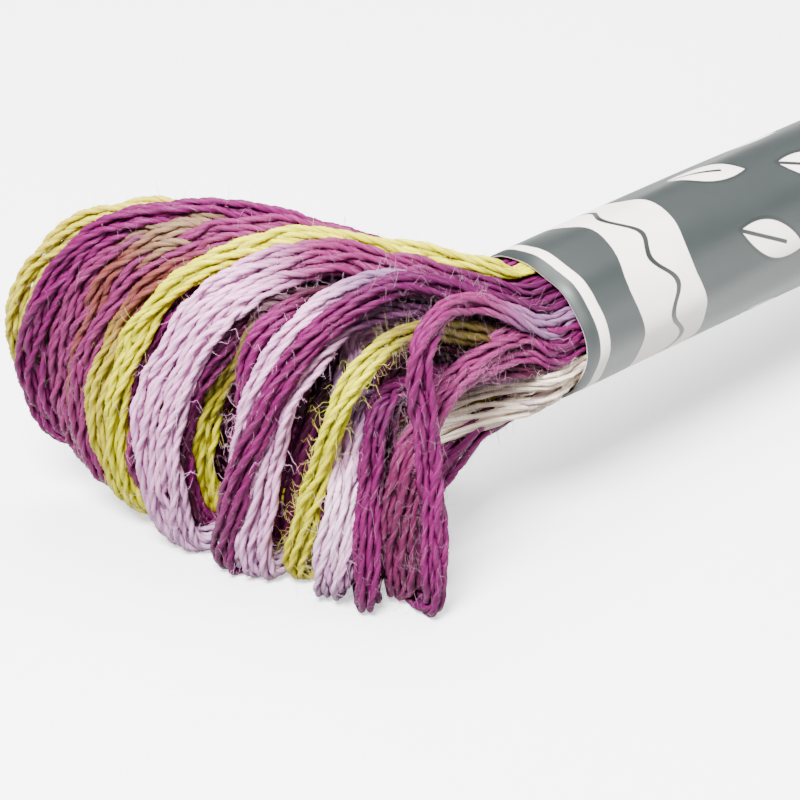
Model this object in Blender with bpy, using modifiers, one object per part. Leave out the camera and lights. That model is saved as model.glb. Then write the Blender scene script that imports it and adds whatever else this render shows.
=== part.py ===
"""A skein of six-strand embroidery floss in its paper band.

One long thread is wound into turns that are gripped by a flattened paper
band. At the near end the turns leave the band's mouth as an open fan of
hanging loops whose tips stand on the surface. At the far end they stay a
close sheaf that ends in short bends and lies on the surface. The turns are
one solid, and the band is another.

Metres, +Z up. The skein runs along +X, the fan is at -X, and the origin is on
the surface below the middle of the whole piece.
"""

import math
from collections import namedtuple

import bmesh
import bpy
from mathutils import Vector

MM = 0.001

# Mouth of the band, the point from which everything is laid out (mm).
MOUTH_X = -41.2
MOUTH_Y = -6.8
MOUTH_HEIGHT = 11.0

# Paper band (mm): flattened outer section, length, wall and glued lap.
BAND_WIDTH = 10.2
BAND_HEIGHT = 8.5
BAND_LENGTH = 58.0
BAND_WALL = 0.4
LAP_START_DEG = 250.0
LAP_SPAN_DEG = 60.0
LAP_STEP = 0.25
BAND_POINTS = 72

# Bunches of floss that stand for the turns (mm).
FLOSS_GAP = 0.3
TURN_RADIUS = 0.75
HEART_RADIUS = 2.3
HEART_SPACING = 1.7
HEART_END = 100.0
HEART_STEP = 4.0
NOSE_SHARES = (0.5, 0.8, 0.97)
THROAT = 0.68
THROAT_DEPTH = 4.0
MOUTH_LEAD = 2.0
TIP_BEND = 2.0
RIDGES = 18

# The middle line falls from the mouth to the sheaf, which lies level (mm).
FALL = 0.052
SHEAF_REST = 84.0
SHEAF_END = 105.0
SHEAF_HEIGHT = 3.5
SHEAF_HALF_WIDTH = 5.2
SHEAF_HALF_HEIGHT = 3.75
BEND_STAGGER = 0.9
BEND_ROUNDING = 3.0
BEND_DEPTH = 3.6
BEND_SHOULDER = 0.25
BEND_FULLNESS = 0.7
SHEAF_STATIONS = (0.0, 20.0, 40.0, BAND_LENGTH, 66.0, 75.0, SHEAF_REST, 93.0)

# Surface of the wound solid (mm).
VOXEL = 0.36
SKEIN_FACES = 10800
ROUTE_STEP = 0.9
TUBE_RESOLUTION = 2
WELD_DISTANCE = 1e-6
CUTTER_DEPTH = 4.0
CUTTER_SPAN = 300.0

# Plain colours and roughness of the two materials.
FLOSS_COLOUR = (0.36, 0.08, 0.26)
FLOSS_ROUGHNESS = 0.8
PAPER_COLOUR = (0.27, 0.30, 0.29)
PAPER_ROUGHNESS = 0.6

Turn = namedtuple(
    "Turn",
    "name heading_top heading_tip crown_out crown_up shoulder_out shoulder_up belly_out belly_up "
    "tip_out tip_up heel_out heel_up exit_side exit_up back_side back_up",
)

# One row for each turn of the fan, in degrees and in millimetres about the
# mouth. A heading is 0 straight ahead of the skein and grows to its left. A
# turn leaves the mouth at its exit, climbs to its crown, passes its shoulder
# and belly, bends at its tip and comes back over its heel to the mouth.
TURNS = [
    Turn("straw_back", 39, 42, 21.0, 8.9, 25.9, 7.0, 28.9, 1.5, 27.2, -4.7, 13.0, -5.6, 2.4, 3.0, 2.9, -2.0),
    Turn("plum_back", 35, 41, 16.1, 9.2, 23.3, 7.9, 27.9, 0.3, 26.6, -6.1, 13.0, -6.8, 1.5, 3.6, 2.2, -2.6),
    Turn("beige_back", 35, 40, 18.4, 8.3, 22.8, 6.9, 26.2, 1.3, 25.8, -5.5, 12.0, -6.4, 2.8, 1.8, 3.6, -0.8),
    Turn("mauve_sheet", 34, 39, 19.0, 7.7, 23.9, 5.6, 25.8, 0.3, 25.0, -7.3, 12.0, -7.6, 1.7, 2.4, 2.2, -1.3),
    Turn("tan_back", 33, 38, 19.3, 8.0, 23.0, 5.8, 25.1, 0.8, 24.7, -7.0, 11.0, -7.4, 1.0, 1.6, 1.5, -2.1),
    Turn("plum_side", 31, 37, 14.6, 9.1, 21.3, 6.6, 25.3, -1.1, 24.2, -8.1, 12.0, -8.2, 0.7, 3.8, 1.4, -3.1),
    Turn("rose_side", 30, 35, 16.1, 7.9, 21.4, 5.3, 24.5, -2.1, 22.8, -9.1, 11.0, -8.6, 0.5, 2.8, 0.7, -2.0),
    Turn("lime_top", 28, 33, 13.1, 8.2, 20.1, 5.7, 23.5, -1.7, 22.3, -9.0, 11.0, -8.8, -0.4, 4.0, 0.5, -3.4),
    Turn("wine_under", 26, 31, 13.8, 7.5, 19.4, 5.2, 22.4, -2.0, 21.4, -8.8, 10.0, -8.8, -0.5, 2.9, 0.0, -2.5),
    Turn("lilac_left", 23, 27, 11.8, 7.5, 18.3, 6.0, 22.3, -1.1, 20.7, -10.3, 11.0, -9.0, -1.3, 3.7, -0.3, -3.4),
    Turn("lilac_right", 20, 25, 12.0, 7.0, 17.9, 5.1, 21.2, -1.8, 19.9, -10.3, 10.0, -9.0, -1.7, 2.8, -0.8, -2.8),
    Turn("taupe_inner", 22, 28, 13.6, 5.6, 16.9, 5.0, 19.7, -1.1, 19.0, -9.7, 9.0, -8.6, 0.0, 1.8, 0.2, -1.2),
    Turn("wine_inner", 22, 29, 14.2, 4.9, 18.6, 1.7, 20.1, -5.3, 18.8, -10.2, 9.0, -8.6, -0.3, 0.9, 0.0, -0.4),
    Turn("plum_inner", 21, 28, 14.6, 5.2, 19.9, 0.2, 20.9, -6.1, 19.1, -10.2, 9.0, -8.2, 0.6, 0.3, 0.9, -0.5),
    Turn("straw_inner", 20, 29, 15.6, 5.6, 17.8, 1.4, 19.3, -4.5, 17.9, -9.3, 9.0, -8.0, -1.3, 1.0, -0.8, -1.0),
    Turn("mauve_short", 14, 20, 13.3, 6.0, 16.9, 4.8, 17.7, -1.3, 18.0, -9.0, 9.0, -8.6, -1.6, 1.9, -1.2, -2.3),
    Turn("lilac_mid", 9, 18, 10.4, 6.4, 15.5, 4.9, 17.8, -0.1, 18.0, -10.2, 10.0, -8.8, -2.4, 3.2, -1.1, -3.3),
    Turn("plum_mid", 6, 17, 9.1, 6.1, 14.6, 4.2, 18.2, -2.9, 18.9, -10.3, 11.0, -8.4, -3.1, 2.5, -1.9, -3.1),
    Turn("lilac_parted", 1, 12, 12.0, 5.7, 16.2, 2.6, 17.6, -3.0, 17.6, -10.3, 10.0, -7.4, -2.5, 1.8, -1.8, -1.7),
    Turn("straw_mid", -4, 9, 9.9, 4.5, 14.0, 2.5, 15.5, -3.9, 15.9, -10.1, 9.6, -6.0, -2.5, 0.9, -2.2, -0.8),
    Turn("lilac_front", -6, -2, 12.4, 6.2, 14.9, 3.1, 15.2, -3.0, 16.0, -10.2, 6.3, -4.2, -3.2, 1.6, -3.7, -1.6),
    Turn("grey_lilac", -6, -6, 10.7, 2.9, 13.7, 0.4, 14.4, -3.8, 15.9, -9.4, 6.8, -2.3, -3.3, 0.6, -4.2, -0.5),
    Turn("plum_front", -8, -10, 8.9, 2.7, 13.1, 1.1, 14.4, -3.4, 15.3, -10.4, 9.6, -5.1, -3.8, -0.1, -2.6, -2.6),
    Turn("rose_left", -10, -14, 4.1, 0.8, 10.2, 0.4, 13.5, -3.9, 13.3, -10.2, 9.5, -4.4, -4.2, 0.7, -3.2, -2.3),
    Turn("rose_right", -12, -16, 3.8, 1.6, 9.4, 0.7, 12.9, -3.1, 13.2, -10.0, 10.0, -4.8, -4.0, 1.5, -2.9, -1.9),
    Turn("plum_hanging", -14, -23, 6.2, 4.7, 12.5, 5.2, 12.7, -0.9, 13.8, -10.4, 10.9, -5.5, -3.6, 2.3, -2.9, -2.9),
    Turn("wine_far", 42, 46, 10.0, 6.0, 17.0, 5.6, 22.0, 0.0, 20.5, -7.6, 10.0, -7.0, 2.9, 2.4, 3.3, -1.4),
    Turn("plum_far", 46, 51, 9.0, 5.2, 15.0, 4.4, 18.5, -1.6, 17.0, -8.2, 8.0, -7.2, 3.4, 1.4, 3.9, -0.2),
    Turn("rose_far", 42, 50, 9.5, 3.6, 15.0, 3.0, 18.0, -2.8, 16.0, -8.4, 8.0, -6.8, 2.1, 0.9, 2.4, -0.3),
    Turn("wine_last", 52, 60, 7.0, 4.0, 12.0, 3.0, 14.0, -2.6, 12.6, -8.6, 6.5, -6.8, 4.0, 1.0, 3.6, -2.0),
]


def fan_point(heading_deg, out, up):
    """Place a point of the fan, in mm about the mouth."""
    heading = math.radians(heading_deg)
    return Vector((-out * math.cos(heading), out * math.sin(heading), up))


def turn_stations(turn):
    """List the points that one turn of the fan passes, in mm about the mouth."""
    outline = [
        (turn.crown_out, turn.crown_up),
        (turn.shoulder_out, turn.shoulder_up),
        (turn.belly_out, turn.belly_up),
        (turn.tip_out, turn.tip_up),
    ]
    leave = Vector((0.0, turn.exit_side, turn.exit_up))
    arrive = Vector((0.0, turn.back_side, turn.back_up))
    inside = Vector((THROAT_DEPTH, 0.0, 0.0))
    ahead = Vector((-MOUTH_LEAD, 0.0, 0.0))
    points = [leave * THROAT + inside, leave * THROAT, leave + ahead]
    for index, (out, up) in enumerate(outline):
        share = index / (len(outline) - 1)
        heading = turn.heading_top + (turn.heading_tip - turn.heading_top) * share
        points.append(fan_point(heading, out, up))
    points.append(fan_point(turn.heading_tip, turn.tip_out - TIP_BEND, turn.tip_up))
    points.append(fan_point(turn.heading_tip, turn.heel_out, turn.heel_up))
    points += [arrive + ahead, arrive * THROAT, arrive * THROAT + inside]
    return points


def middle_height(along):
    """Height of the skein's middle line, in mm about the mouth."""
    rest_height = SHEAF_HEIGHT - MOUTH_HEIGHT
    if along <= BAND_LENGTH:
        return -FALL * along
    band_end = -FALL * BAND_LENGTH
    share = min(1.0, (along - BAND_LENGTH) / (SHEAF_REST - BAND_LENGTH))
    return band_end + (rest_height - band_end) * share * share * (3.0 - 2.0 * share)


def bundle_half(along, radius):
    """Half width and half height on which bunches of a radius lie, in mm."""
    tight_width = BAND_WIDTH / 2 - BAND_WALL - FLOSS_GAP - radius
    tight_height = BAND_HEIGHT / 2 - BAND_WALL - FLOSS_GAP - radius
    share = min(1.0, max(0.0, (along - BAND_LENGTH) / (SHEAF_REST - BAND_LENGTH)))
    width = tight_width + (SHEAF_HALF_WIDTH - radius - tight_width) * share
    height = tight_height + (SHEAF_HALF_HEIGHT - radius - tight_height) * share
    return width, height


def sheaf_stations(angle, end):
    """List the points of one bunch, from the mouth along the top, round the far end and back."""
    outward = []
    for along in (*SHEAF_STATIONS, end - BEND_DEPTH):
        width, height = bundle_half(along, TURN_RADIUS)
        outward.append((along, width * math.cos(angle), height * math.sin(angle)))
    side, up = outward[-1][1:]
    middle = middle_height(end)
    points = [Vector((along, side, middle_height(along) + up)) for along, side, up in outward]
    near_end = end - BEND_DEPTH * BEND_SHOULDER
    points.append(Vector((near_end, side, middle + up * BEND_FULLNESS)))
    points.append(Vector((end, side, middle)))
    points.append(Vector((near_end, side, middle - up * BEND_FULLNESS)))
    points += [Vector((along, side, middle_height(along) - up)) for along, side, up in reversed(outward)]
    return points


def heart_route(side):
    """List the points and radii of one filling bunch, which ends in a round nose."""
    points = []
    radii = []
    count = round(HEART_END / HEART_STEP)
    for index in range(count + 1):
        along = HEART_END * index / count
        points.append(Vector((along, side, middle_height(along))))
        radii.append(HEART_RADIUS)
    for share in NOSE_SHARES:
        along = HEART_END + HEART_RADIUS * share
        points.append(Vector((along, side, middle_height(along))))
        radii.append(HEART_RADIUS * math.sqrt(1.0 - share * share))
    return points, radii


def smooth_route(points, step):
    """Run a smooth curve through points, with a point about every step."""
    padded = [points[0] * 2 - points[1], *points, points[-1] * 2 - points[-2]]
    times = [0.0]
    for start, end in zip(padded, padded[1:]):
        times.append(times[-1] + math.sqrt((end - start).length))
    route = []
    for index in range(1, len(padded) - 2):
        p0, p1, p2, p3 = padded[index - 1:index + 3]
        t0, t1, t2, t3 = times[index - 1:index + 3]
        pieces = max(1, round((p2 - p1).length / step))
        for piece in range(pieces):
            t = t1 + (t2 - t1) * piece / pieces
            a1 = p0.lerp(p1, (t - t0) / (t1 - t0))
            a2 = p1.lerp(p2, (t - t1) / (t2 - t1))
            a3 = p2.lerp(p3, (t - t2) / (t3 - t2))
            b1 = a1.lerp(a2, (t - t0) / (t2 - t0))
            b2 = a2.lerp(a3, (t - t1) / (t3 - t1))
            route.append(b1.lerp(b2, (t - t1) / (t2 - t1)))
    route.append(points[-1].copy())
    return route


def new_collection(name):
    """Make a collection in the scene."""
    collection = bpy.data.collections.new(name)
    bpy.context.scene.collection.children.link(collection)
    return collection


def new_material(name, colour, roughness):
    """Make a plain material with a colour and a roughness."""
    material = bpy.data.materials.new(name)
    material.use_nodes = True
    shader = material.node_tree.nodes["Principled BSDF"]
    shader.inputs["Base Color"].default_value = (*colour, 1.0)
    shader.inputs["Roughness"].default_value = roughness
    shader.inputs["Metallic"].default_value = 0.0
    return material


def evaluated_mesh(thing, name):
    """Return a plain mesh of an object as its modifiers leave it."""
    graph = bpy.context.evaluated_depsgraph_get()
    mesh = bpy.data.meshes.new_from_object(thing.evaluated_get(graph))
    mesh.name = name
    return mesh


def bunches(name, routes, collection):
    """Make tubes along routes, given as points and radii in mm, as one mesh object."""
    curve = bpy.data.curves.new(name, "CURVE")
    curve.dimensions = "3D"
    curve.bevel_depth = MM
    curve.bevel_resolution = TUBE_RESOLUTION
    curve.use_fill_caps = True
    for points, radii in routes:
        spline = curve.splines.new("POLY")
        spline.points.add(len(points) - 1)
        for target, point, radius in zip(spline.points, points, radii):
            target.co = (*(point * MM), 1.0)
            target.radius = radius
    guide = bpy.data.objects.new(name + "_guide", curve)
    collection.objects.link(guide)
    mesh = evaluated_mesh(guide, name)
    bpy.data.objects.remove(guide)
    weld = bmesh.new()
    weld.from_mesh(mesh)
    bmesh.ops.remove_doubles(weld, verts=weld.verts, dist=WELD_DISTANCE)
    weld.to_mesh(mesh)
    weld.free()
    thing = bpy.data.objects.new(name, mesh)
    collection.objects.link(thing)
    return thing


def keep_outer_skin(mesh):
    """Delete every shell of a mesh but the one with the most faces."""
    shape = bmesh.new()
    shape.from_mesh(mesh)
    unseen = set(shape.faces)
    shells = []
    while unseen:
        front = [unseen.pop()]
        shell = list(front)
        while front:
            face = front.pop()
            for edge in face.edges:
                for other in edge.link_faces:
                    if other in unseen:
                        unseen.remove(other)
                        front.append(other)
                        shell.append(other)
        shells.append(shell)
    shells.sort(key=len)
    for shell in shells[:-1]:
        bmesh.ops.delete(shape, geom=shell, context="FACES")
    shape.to_mesh(mesh)
    shape.free()


def surface_cutter(collection):
    """Make the block below the surface that levels what rests on it."""
    bpy.ops.mesh.primitive_cube_add(
        size=1.0,
        location=(0.0, 0.0, -CUTTER_DEPTH / 2 * MM),
        scale=(CUTTER_SPAN * MM, CUTTER_SPAN * MM, CUTTER_DEPTH * MM),
    )
    cutter = bpy.context.active_object
    cutter.name = "surface_cutter"
    for owner in cutter.users_collection:
        owner.objects.unlink(cutter)
    collection.objects.link(cutter)
    cutter.hide_render = True
    cutter.display_type = "WIRE"
    return cutter


def build_skein(parts, cutters):
    """Make the wound floss: fan, bundle and sheaf as one ridged solid."""
    routes = [smooth_route(turn_stations(turn), ROUTE_STEP) for turn in TURNS]
    pairs = RIDGES // 2
    for index in range(pairs):
        angle = (index + 0.5) * math.pi / pairs
        rounding = BEND_ROUNDING * math.cos(angle) ** 2
        end = SHEAF_END - TURN_RADIUS - rounding - BEND_STAGGER * (index % 2)
        routes.append(smooth_route(sheaf_stations(angle, end), ROUTE_STEP))
    tubes = [(route, [TURN_RADIUS] * len(route)) for route in routes]
    tubes += [heart_route(side) for side in (-HEART_SPACING, 0.0, HEART_SPACING)]
    skein = bunches("floss_skein", tubes, parts)
    remesh = skein.modifiers.new("fused", "REMESH")
    remesh.mode = "VOXEL"
    remesh.voxel_size = VOXEL * MM
    fused = evaluated_mesh(skein, "floss_skein")
    skein.modifiers.remove(remesh)
    skein.data = fused
    keep_outer_skin(fused)
    fused.shade_smooth()
    thin = skein.modifiers.new("thinned", "DECIMATE")
    thin.ratio = SKEIN_FACES / (2 * len(fused.polygons))
    skein.location = (MOUTH_X * MM, MOUTH_Y * MM, MOUTH_HEIGHT * MM)
    level = skein.modifiers.new("levelled", "BOOLEAN")
    level.operation = "DIFFERENCE"
    level.object = surface_cutter(cutters)
    skein.data.materials.append(new_material("floss_cotton", FLOSS_COLOUR, FLOSS_ROUGHNESS))
    return skein


def band_outline(angle):
    """Half width and half height of the paper's outer face at an angle, in mm."""
    into_lap = (math.degrees(angle) - LAP_START_DEG) / LAP_SPAN_DEG
    lift = LAP_STEP * (1.0 - into_lap) if 0.0 <= into_lap < 1.0 else 0.0
    return BAND_WIDTH / 2 + lift, BAND_HEIGHT / 2 + lift


def build_band(parts):
    """Make the paper band, a sleeve whose end laps over its start."""
    curve = bpy.data.curves.new("paper_band", "CURVE")
    curve.dimensions = "2D"
    curve.fill_mode = "BOTH"
    curve.extrude = BAND_LENGTH / 2 * MM
    for inner in (False, True):
        spline = curve.splines.new("POLY")
        spline.points.add(BAND_POINTS - 1)
        spline.use_cyclic_u = True
        for index, point in enumerate(spline.points):
            angle = 2 * math.pi * index / BAND_POINTS
            width, height = band_outline(angle)
            if inner:
                width = BAND_WIDTH / 2 - BAND_WALL
                height = BAND_HEIGHT / 2 - BAND_WALL
            point.co = (width * math.cos(angle) * MM, height * math.sin(angle) * MM, 0.0, 1.0)
    band = bpy.data.objects.new("paper_band", curve)
    parts.objects.link(band)
    axis = bpy.data.objects.new("band_axis", None)
    parts.objects.link(axis)
    axis.location = (MOUTH_X * MM, MOUTH_Y * MM, MOUTH_HEIGHT * MM)
    axis.rotation_euler = (0.0, math.atan(FALL), 0.0)
    band.parent = axis
    band.location = (BAND_LENGTH / 2 * MM, 0.0, 0.0)
    band.rotation_euler = (math.pi / 2, 0.0, math.pi / 2)
    curve.materials.append(new_material("band_paper", PAPER_COLOUR, PAPER_ROUGHNESS))
    return band


def main():
    """Clear the scene and build the skein and its band."""
    for thing in list(bpy.data.objects):
        bpy.data.objects.remove(thing)
    parts = new_collection("embroidery_floss_skein")
    cutters = new_collection("cutters")
    build_skein(parts, cutters)
    build_band(parts)


if __name__ == "__main__":
    main()
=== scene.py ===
"""A skein of six-strand embroidery floss in its paper band, dressed over its frame.

Every turn of the fan is six loose strands, and every strand is two plies
twisted together. The strands are laid out along the turns' routes, eased
apart until they only touch, and swept by a Geometry Nodes tree. Stray fibres
stand on them. The far end is a close sheaf of the same strands, and a paper
band with a plain printed pattern holds the bundle.
"""

import logging
import math
from dataclasses import dataclass, field
from enum import Enum
from itertools import product
from typing import Callable, Iterator, NamedTuple, Optional, Sequence, Union

import bpy
import numpy as np
from mathutils import Matrix, Vector


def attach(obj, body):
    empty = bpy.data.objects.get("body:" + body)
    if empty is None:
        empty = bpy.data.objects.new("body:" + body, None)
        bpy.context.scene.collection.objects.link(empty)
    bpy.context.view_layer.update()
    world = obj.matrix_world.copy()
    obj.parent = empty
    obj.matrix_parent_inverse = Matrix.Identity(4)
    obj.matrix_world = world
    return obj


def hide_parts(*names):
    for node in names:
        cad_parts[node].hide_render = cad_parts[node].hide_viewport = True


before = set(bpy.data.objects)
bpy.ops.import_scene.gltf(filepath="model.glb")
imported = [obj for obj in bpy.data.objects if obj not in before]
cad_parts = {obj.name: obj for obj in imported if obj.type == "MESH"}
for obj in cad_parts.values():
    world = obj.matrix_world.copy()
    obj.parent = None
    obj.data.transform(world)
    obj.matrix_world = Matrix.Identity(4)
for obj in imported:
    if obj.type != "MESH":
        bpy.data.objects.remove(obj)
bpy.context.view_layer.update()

LOG = logging.getLogger("floss_skein")
MM = 0.001
BODY = "root"
FLOSS = ("floss_skein", "floss_cotton")
BAND = ("paper_band", "band_paper")
# The mouth's middle in mm, the way that the fan's broad side faces, and the bundle's fall
# for each mm behind the mouth.
MOUTH = (-41.2, -6.8, 11.0)
FACING = (-0.585, -0.607, 0.537)
FALL = 0.052
BAND_LENGTH = 58.0
TINY = 1e-6

Link = Union["Value", bpy.types.NodeSocket, float, int, bool, Sequence[float], bpy.types.ID]
Sockets = dict[Union[int, str], Link]
Pair = tuple[float, float]
Point = tuple[float, float, float]
Colour = tuple[float, float, float, float]
Array = np.ndarray
Faces = list[tuple[int, ...]]


# ---------------------------------------------------------------- node trees


def math_node(operation: str, swapped: bool = False) -> Callable[..., "Value"]:
    """Make a method of Value that adds one Math node.

    Args:
        operation: The node's operation.
        swapped: Whether the value is the last term and not the first.

    Returns:
        The method.
    """

    def method(self: "Value", *others: Link) -> "Value":
        """Add the node."""
        return self.math(operation, *others, self) if swapped else self.math(operation, self, *others)

    return method


class Value:
    """A socket whose arithmetic adds Math or Vector Math nodes to its tree."""

    def __init__(self, graph: "Graph", socket: bpy.types.NodeSocket) -> None:
        """Wrap an output socket of a node of the graph."""
        self.graph = graph
        self.socket = socket

    def math(self, operation: str, *terms: Link) -> "Value":
        """Add a Math node, or a Vector Math node where a term is a vector.

        Args:
            operation: The node's operation.
            terms: Its inputs, in order.

        Returns:
            The node's result.
        """
        kind = "ShaderNodeMath"
        if any(isinstance(t, Value) and t.socket.type == "VECTOR" for t in terms):
            kind = "ShaderNodeVectorMath"
            terms = [(t, t, t) if isinstance(t, (int, float)) else t for t in terms]
        return self.graph.add(kind, dict(enumerate(terms)), operation=operation)[0]

    __add__ = math_node("ADD")
    __radd__ = math_node("ADD", swapped=True)
    __sub__ = math_node("SUBTRACT")
    __rsub__ = math_node("SUBTRACT", swapped=True)
    __mul__ = math_node("MULTIPLY")
    __truediv__ = math_node("DIVIDE")
    __pow__ = math_node("POWER")
    __abs__ = math_node("ABSOLUTE")
    dot = math_node("DOT_PRODUCT")
    sine = math_node("SINE")
    fraction = math_node("FRACT")
    least = math_node("MINIMUM")
    most = math_node("MAXIMUM")

    def parts(self) -> list["Value"]:
        """Split a vector into its three components."""
        return self.graph.add("ShaderNodeSeparateXYZ", {0: self})


class Graph:
    """A node tree that is built in this script."""

    def __init__(self, tree: bpy.types.NodeTree) -> None:
        """Take a tree to fill."""
        self.tree = tree

    def add(self, kind: str, sockets: Optional[Sockets] = None, **settings: object) -> list[Value]:
        """Add a node, set it up and join it.

        Args:
            kind: The node's type.
            sockets: Values or links by the input's name or number.
            settings: Its properties, set before its sockets.

        Returns:
            The node's enabled outputs.
        """
        node = self.tree.nodes.new(kind)
        for name, value in settings.items():
            setattr(node, name, value)
        self.join(node, sockets or {})
        return [Value(self, s) for s in node.outputs if s.enabled]

    def join(self, node: bpy.types.Node, sockets: Sockets) -> None:
        """Link or set a node's inputs.

        Args:
            node: The node.
            sockets: Values or links by the input's name or number.
        """
        usable = [s for s in node.inputs if s.enabled]
        for key, value in sockets.items():
            target = usable[key] if isinstance(key, int) else next(s for s in usable if s.name == key)
            source = value.socket if isinstance(value, Value) else value
            if isinstance(source, bpy.types.NodeSocket):
                self.tree.links.new(source, target)
            else:
                target.default_value = source

    def attribute(self, name: str, kind: str = "FLOAT") -> Value:
        """Read a named attribute.

        Args:
            name: The attribute's name.
            kind: Its data type in Geometry Nodes; shaders read 'FLOAT' as Fac and the rest as a vector.

        Returns:
            The attribute's value.
        """
        if self.tree.type == "GEOMETRY":
            return self.add("GeometryNodeInputNamedAttribute", {"Name": name}, data_type=kind)[0]
        colour, vector, factor = self.add("ShaderNodeAttribute", attribute_name=name)[:3]
        return {"FLOAT": factor, "FLOAT_COLOR": colour}.get(kind, vector)

    def vector(self, x: Link, y: Link, z: Link) -> Value:
        """Join three numbers into a vector."""
        return self.add("ShaderNodeCombineXYZ", {0: x, 1: y, 2: z})[0]

    def noise(self, place: Link, scale: float, detail: float = 2.0) -> Value:
        """Add a noise pattern from 0 to 1."""
        return self.add("ShaderNodeTexNoise", {"Vector": place, "Scale": scale, "Detail": detail})[0]

    def smooth(self, value: Link, low: float, high: float) -> Value:
        """Step softly from 0 to 1 as the value goes from low to high."""
        sockets = {"Value": value, "From Min": low, "From Max": high}
        return self.add("ShaderNodeMapRange", sockets, interpolation_type="SMOOTHSTEP")[0]

    def mix(self, share: Link, first: Link, second: Link, blend: str = "MIX") -> Value:
        """Mix two colours by the share of the second."""
        sockets = {"Factor": share, "A": first, "B": second}
        return self.add("ShaderNodeMix", sockets, data_type="RGBA", blend_type=blend)[0]

    def shaded(self, dye: Link, shade: Link) -> Value:
        """Darken or lift a colour by a factor."""
        return self.mix(1.0, dye, self.vector(shade, shade, shade), "MULTIPLY")


class Surface(Graph):
    """A material's tree round its Principled shader."""

    def __init__(self, name: str, gloss: float) -> None:
        """Open a material.

        Args:
            name: Its name.
            gloss: Strength of its highlight.
        """
        self.material = bpy.data.materials.new(name)
        self.material.use_nodes = True
        super().__init__(self.material.node_tree)
        self.feed({"Specular IOR Level": gloss})

    def bump(self, height: Value, strength: float, distance: float) -> Value:
        """Turn a height into a normal, with the distance in mm."""
        return self.add("ShaderNodeBump", {"Strength": strength, "Distance": distance * MM, "Height": height})[0]

    def feed(self, inputs: dict[str, Link]) -> bpy.types.Material:
        """Link or set inputs of the shader by name, and give the material."""
        self.join(self.tree.nodes["Principled BSDF"], inputs)
        return self.material


class GeometryTree(Graph):
    """A Geometry Nodes tree with named inputs, applied to a mesh object."""

    def __init__(self, name: str, values: dict[str, Union[int, float, bpy.types.Material]]) -> None:
        """Open a tree.

        Args:
            name: The tree's name.
            values: The inputs' usual values by name.
        """
        super().__init__(bpy.data.node_groups.new(name, "GeometryNodeTree"))
        self.values = values
        kinds = {int: "Int", float: "Float", bpy.types.Material: "Material"}
        labels = {"Geometry": "Geometry", **{label: kinds[type(value)] for label, value in values.items()}}
        for label, kind in labels.items():
            self.tree.interface.new_socket(label, in_out="INPUT", socket_type="NodeSocket" + kind)
        self.tree.interface.new_socket("Geometry", in_out="OUTPUT", socket_type="NodeSocketGeometry")
        outputs = self.tree.nodes.new("NodeGroupInput").outputs
        self.inputs = {s.name: Value(self, s) for s in outputs if s.name}

    def geo(self, kind: str, sockets: Optional[Sockets] = None, **settings: object) -> Value:
        """Add a node of the geometry kind and give its first output."""
        return self.add("GeometryNode" + kind, sockets, **settings)[0]

    def store(self, geometry: Value, name: str, kind: str, value: Link) -> Value:
        """Keep a value as a named attribute of the geometry's points."""
        sockets = {"Geometry": geometry, "Name": name, "Value": value}
        return self.geo("StoreNamedAttribute", sockets, data_type=kind, domain="POINT")

    def random(self, kind: str, low: Link, high: Link) -> Value:
        """Draw a random value between two by the tree's seed."""
        sockets = {"Min": low, "Max": high, "Seed": self.inputs["Seed"]}
        return self.add("FunctionNodeRandomValue", sockets, data_type=kind)[0]

    def sweep(self, curve: Value, ring: Value, scale: Value) -> "GeometryTree":
        """Sweep a ring along curves and end the tree in realized, smooth geometry with its material.

        Args:
            curve: The curves.
            ring: The section.
            scale: The section's size at each point.

        Returns:
            The tree.
        """
        sockets = {"Curve": curve, "Profile Curve": ring, "Scale": scale, "Fill Caps": True}
        real = self.geo("RealizeInstances", {"Geometry": self.geo("CurveToMesh", sockets)})
        soft = self.geo("SetShadeSmooth", {"Geometry": real})
        dressed = self.geo("SetMaterial", {"Geometry": soft, "Material": self.inputs["Material"]})
        self.add("NodeGroupOutput", {0: dressed})
        return self

    def apply(self, thing: bpy.types.Object, name: str, **changes: object) -> bpy.types.Object:
        """Run the tree on an object and leave a plain mesh.

        Args:
            thing: The object that the tree reads, which is removed.
            name: The new piece's name.
            changes: Inputs that have other values than the usual ones.

        Returns:
            The new piece.
        """
        values = {**self.values, **changes}
        modifier = thing.modifiers.new(self.tree.name, "NODES")
        modifier.node_group = self.tree
        for item in self.tree.interface.items_tree:
            if item.name in values:
                modifier[item.identifier] = values[item.name]
        graph = bpy.context.evaluated_depsgraph_get()
        mesh = bpy.data.meshes.new_from_object(thing.evaluated_get(graph))
        thing.modifiers.remove(modifier)
        bpy.data.objects.remove(thing)
        return new_object(name, mesh)


def new_object(name: str, data: bpy.types.ID) -> bpy.types.Object:
    """Make an object and put it in the scene.

    Args:
        name: Its name.
        data: Its mesh, light or camera.

    Returns:
        The object.
    """
    thing = bpy.data.objects.new(name, data)
    bpy.context.scene.collection.objects.link(thing)
    return thing


# ------------------------------------------------------------------ finishes


def linear(red: int, green: int, blue: int) -> Colour:
    """Turn a screen colour, 0 to 255, into a linear one with full alpha."""
    parts = [c / 255.0 for c in (red, green, blue)]
    return (*(c / 12.92 if c <= 0.04045 else ((c + 0.055) / 1.055) ** 2.4 for c in parts), 1.0)


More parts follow.
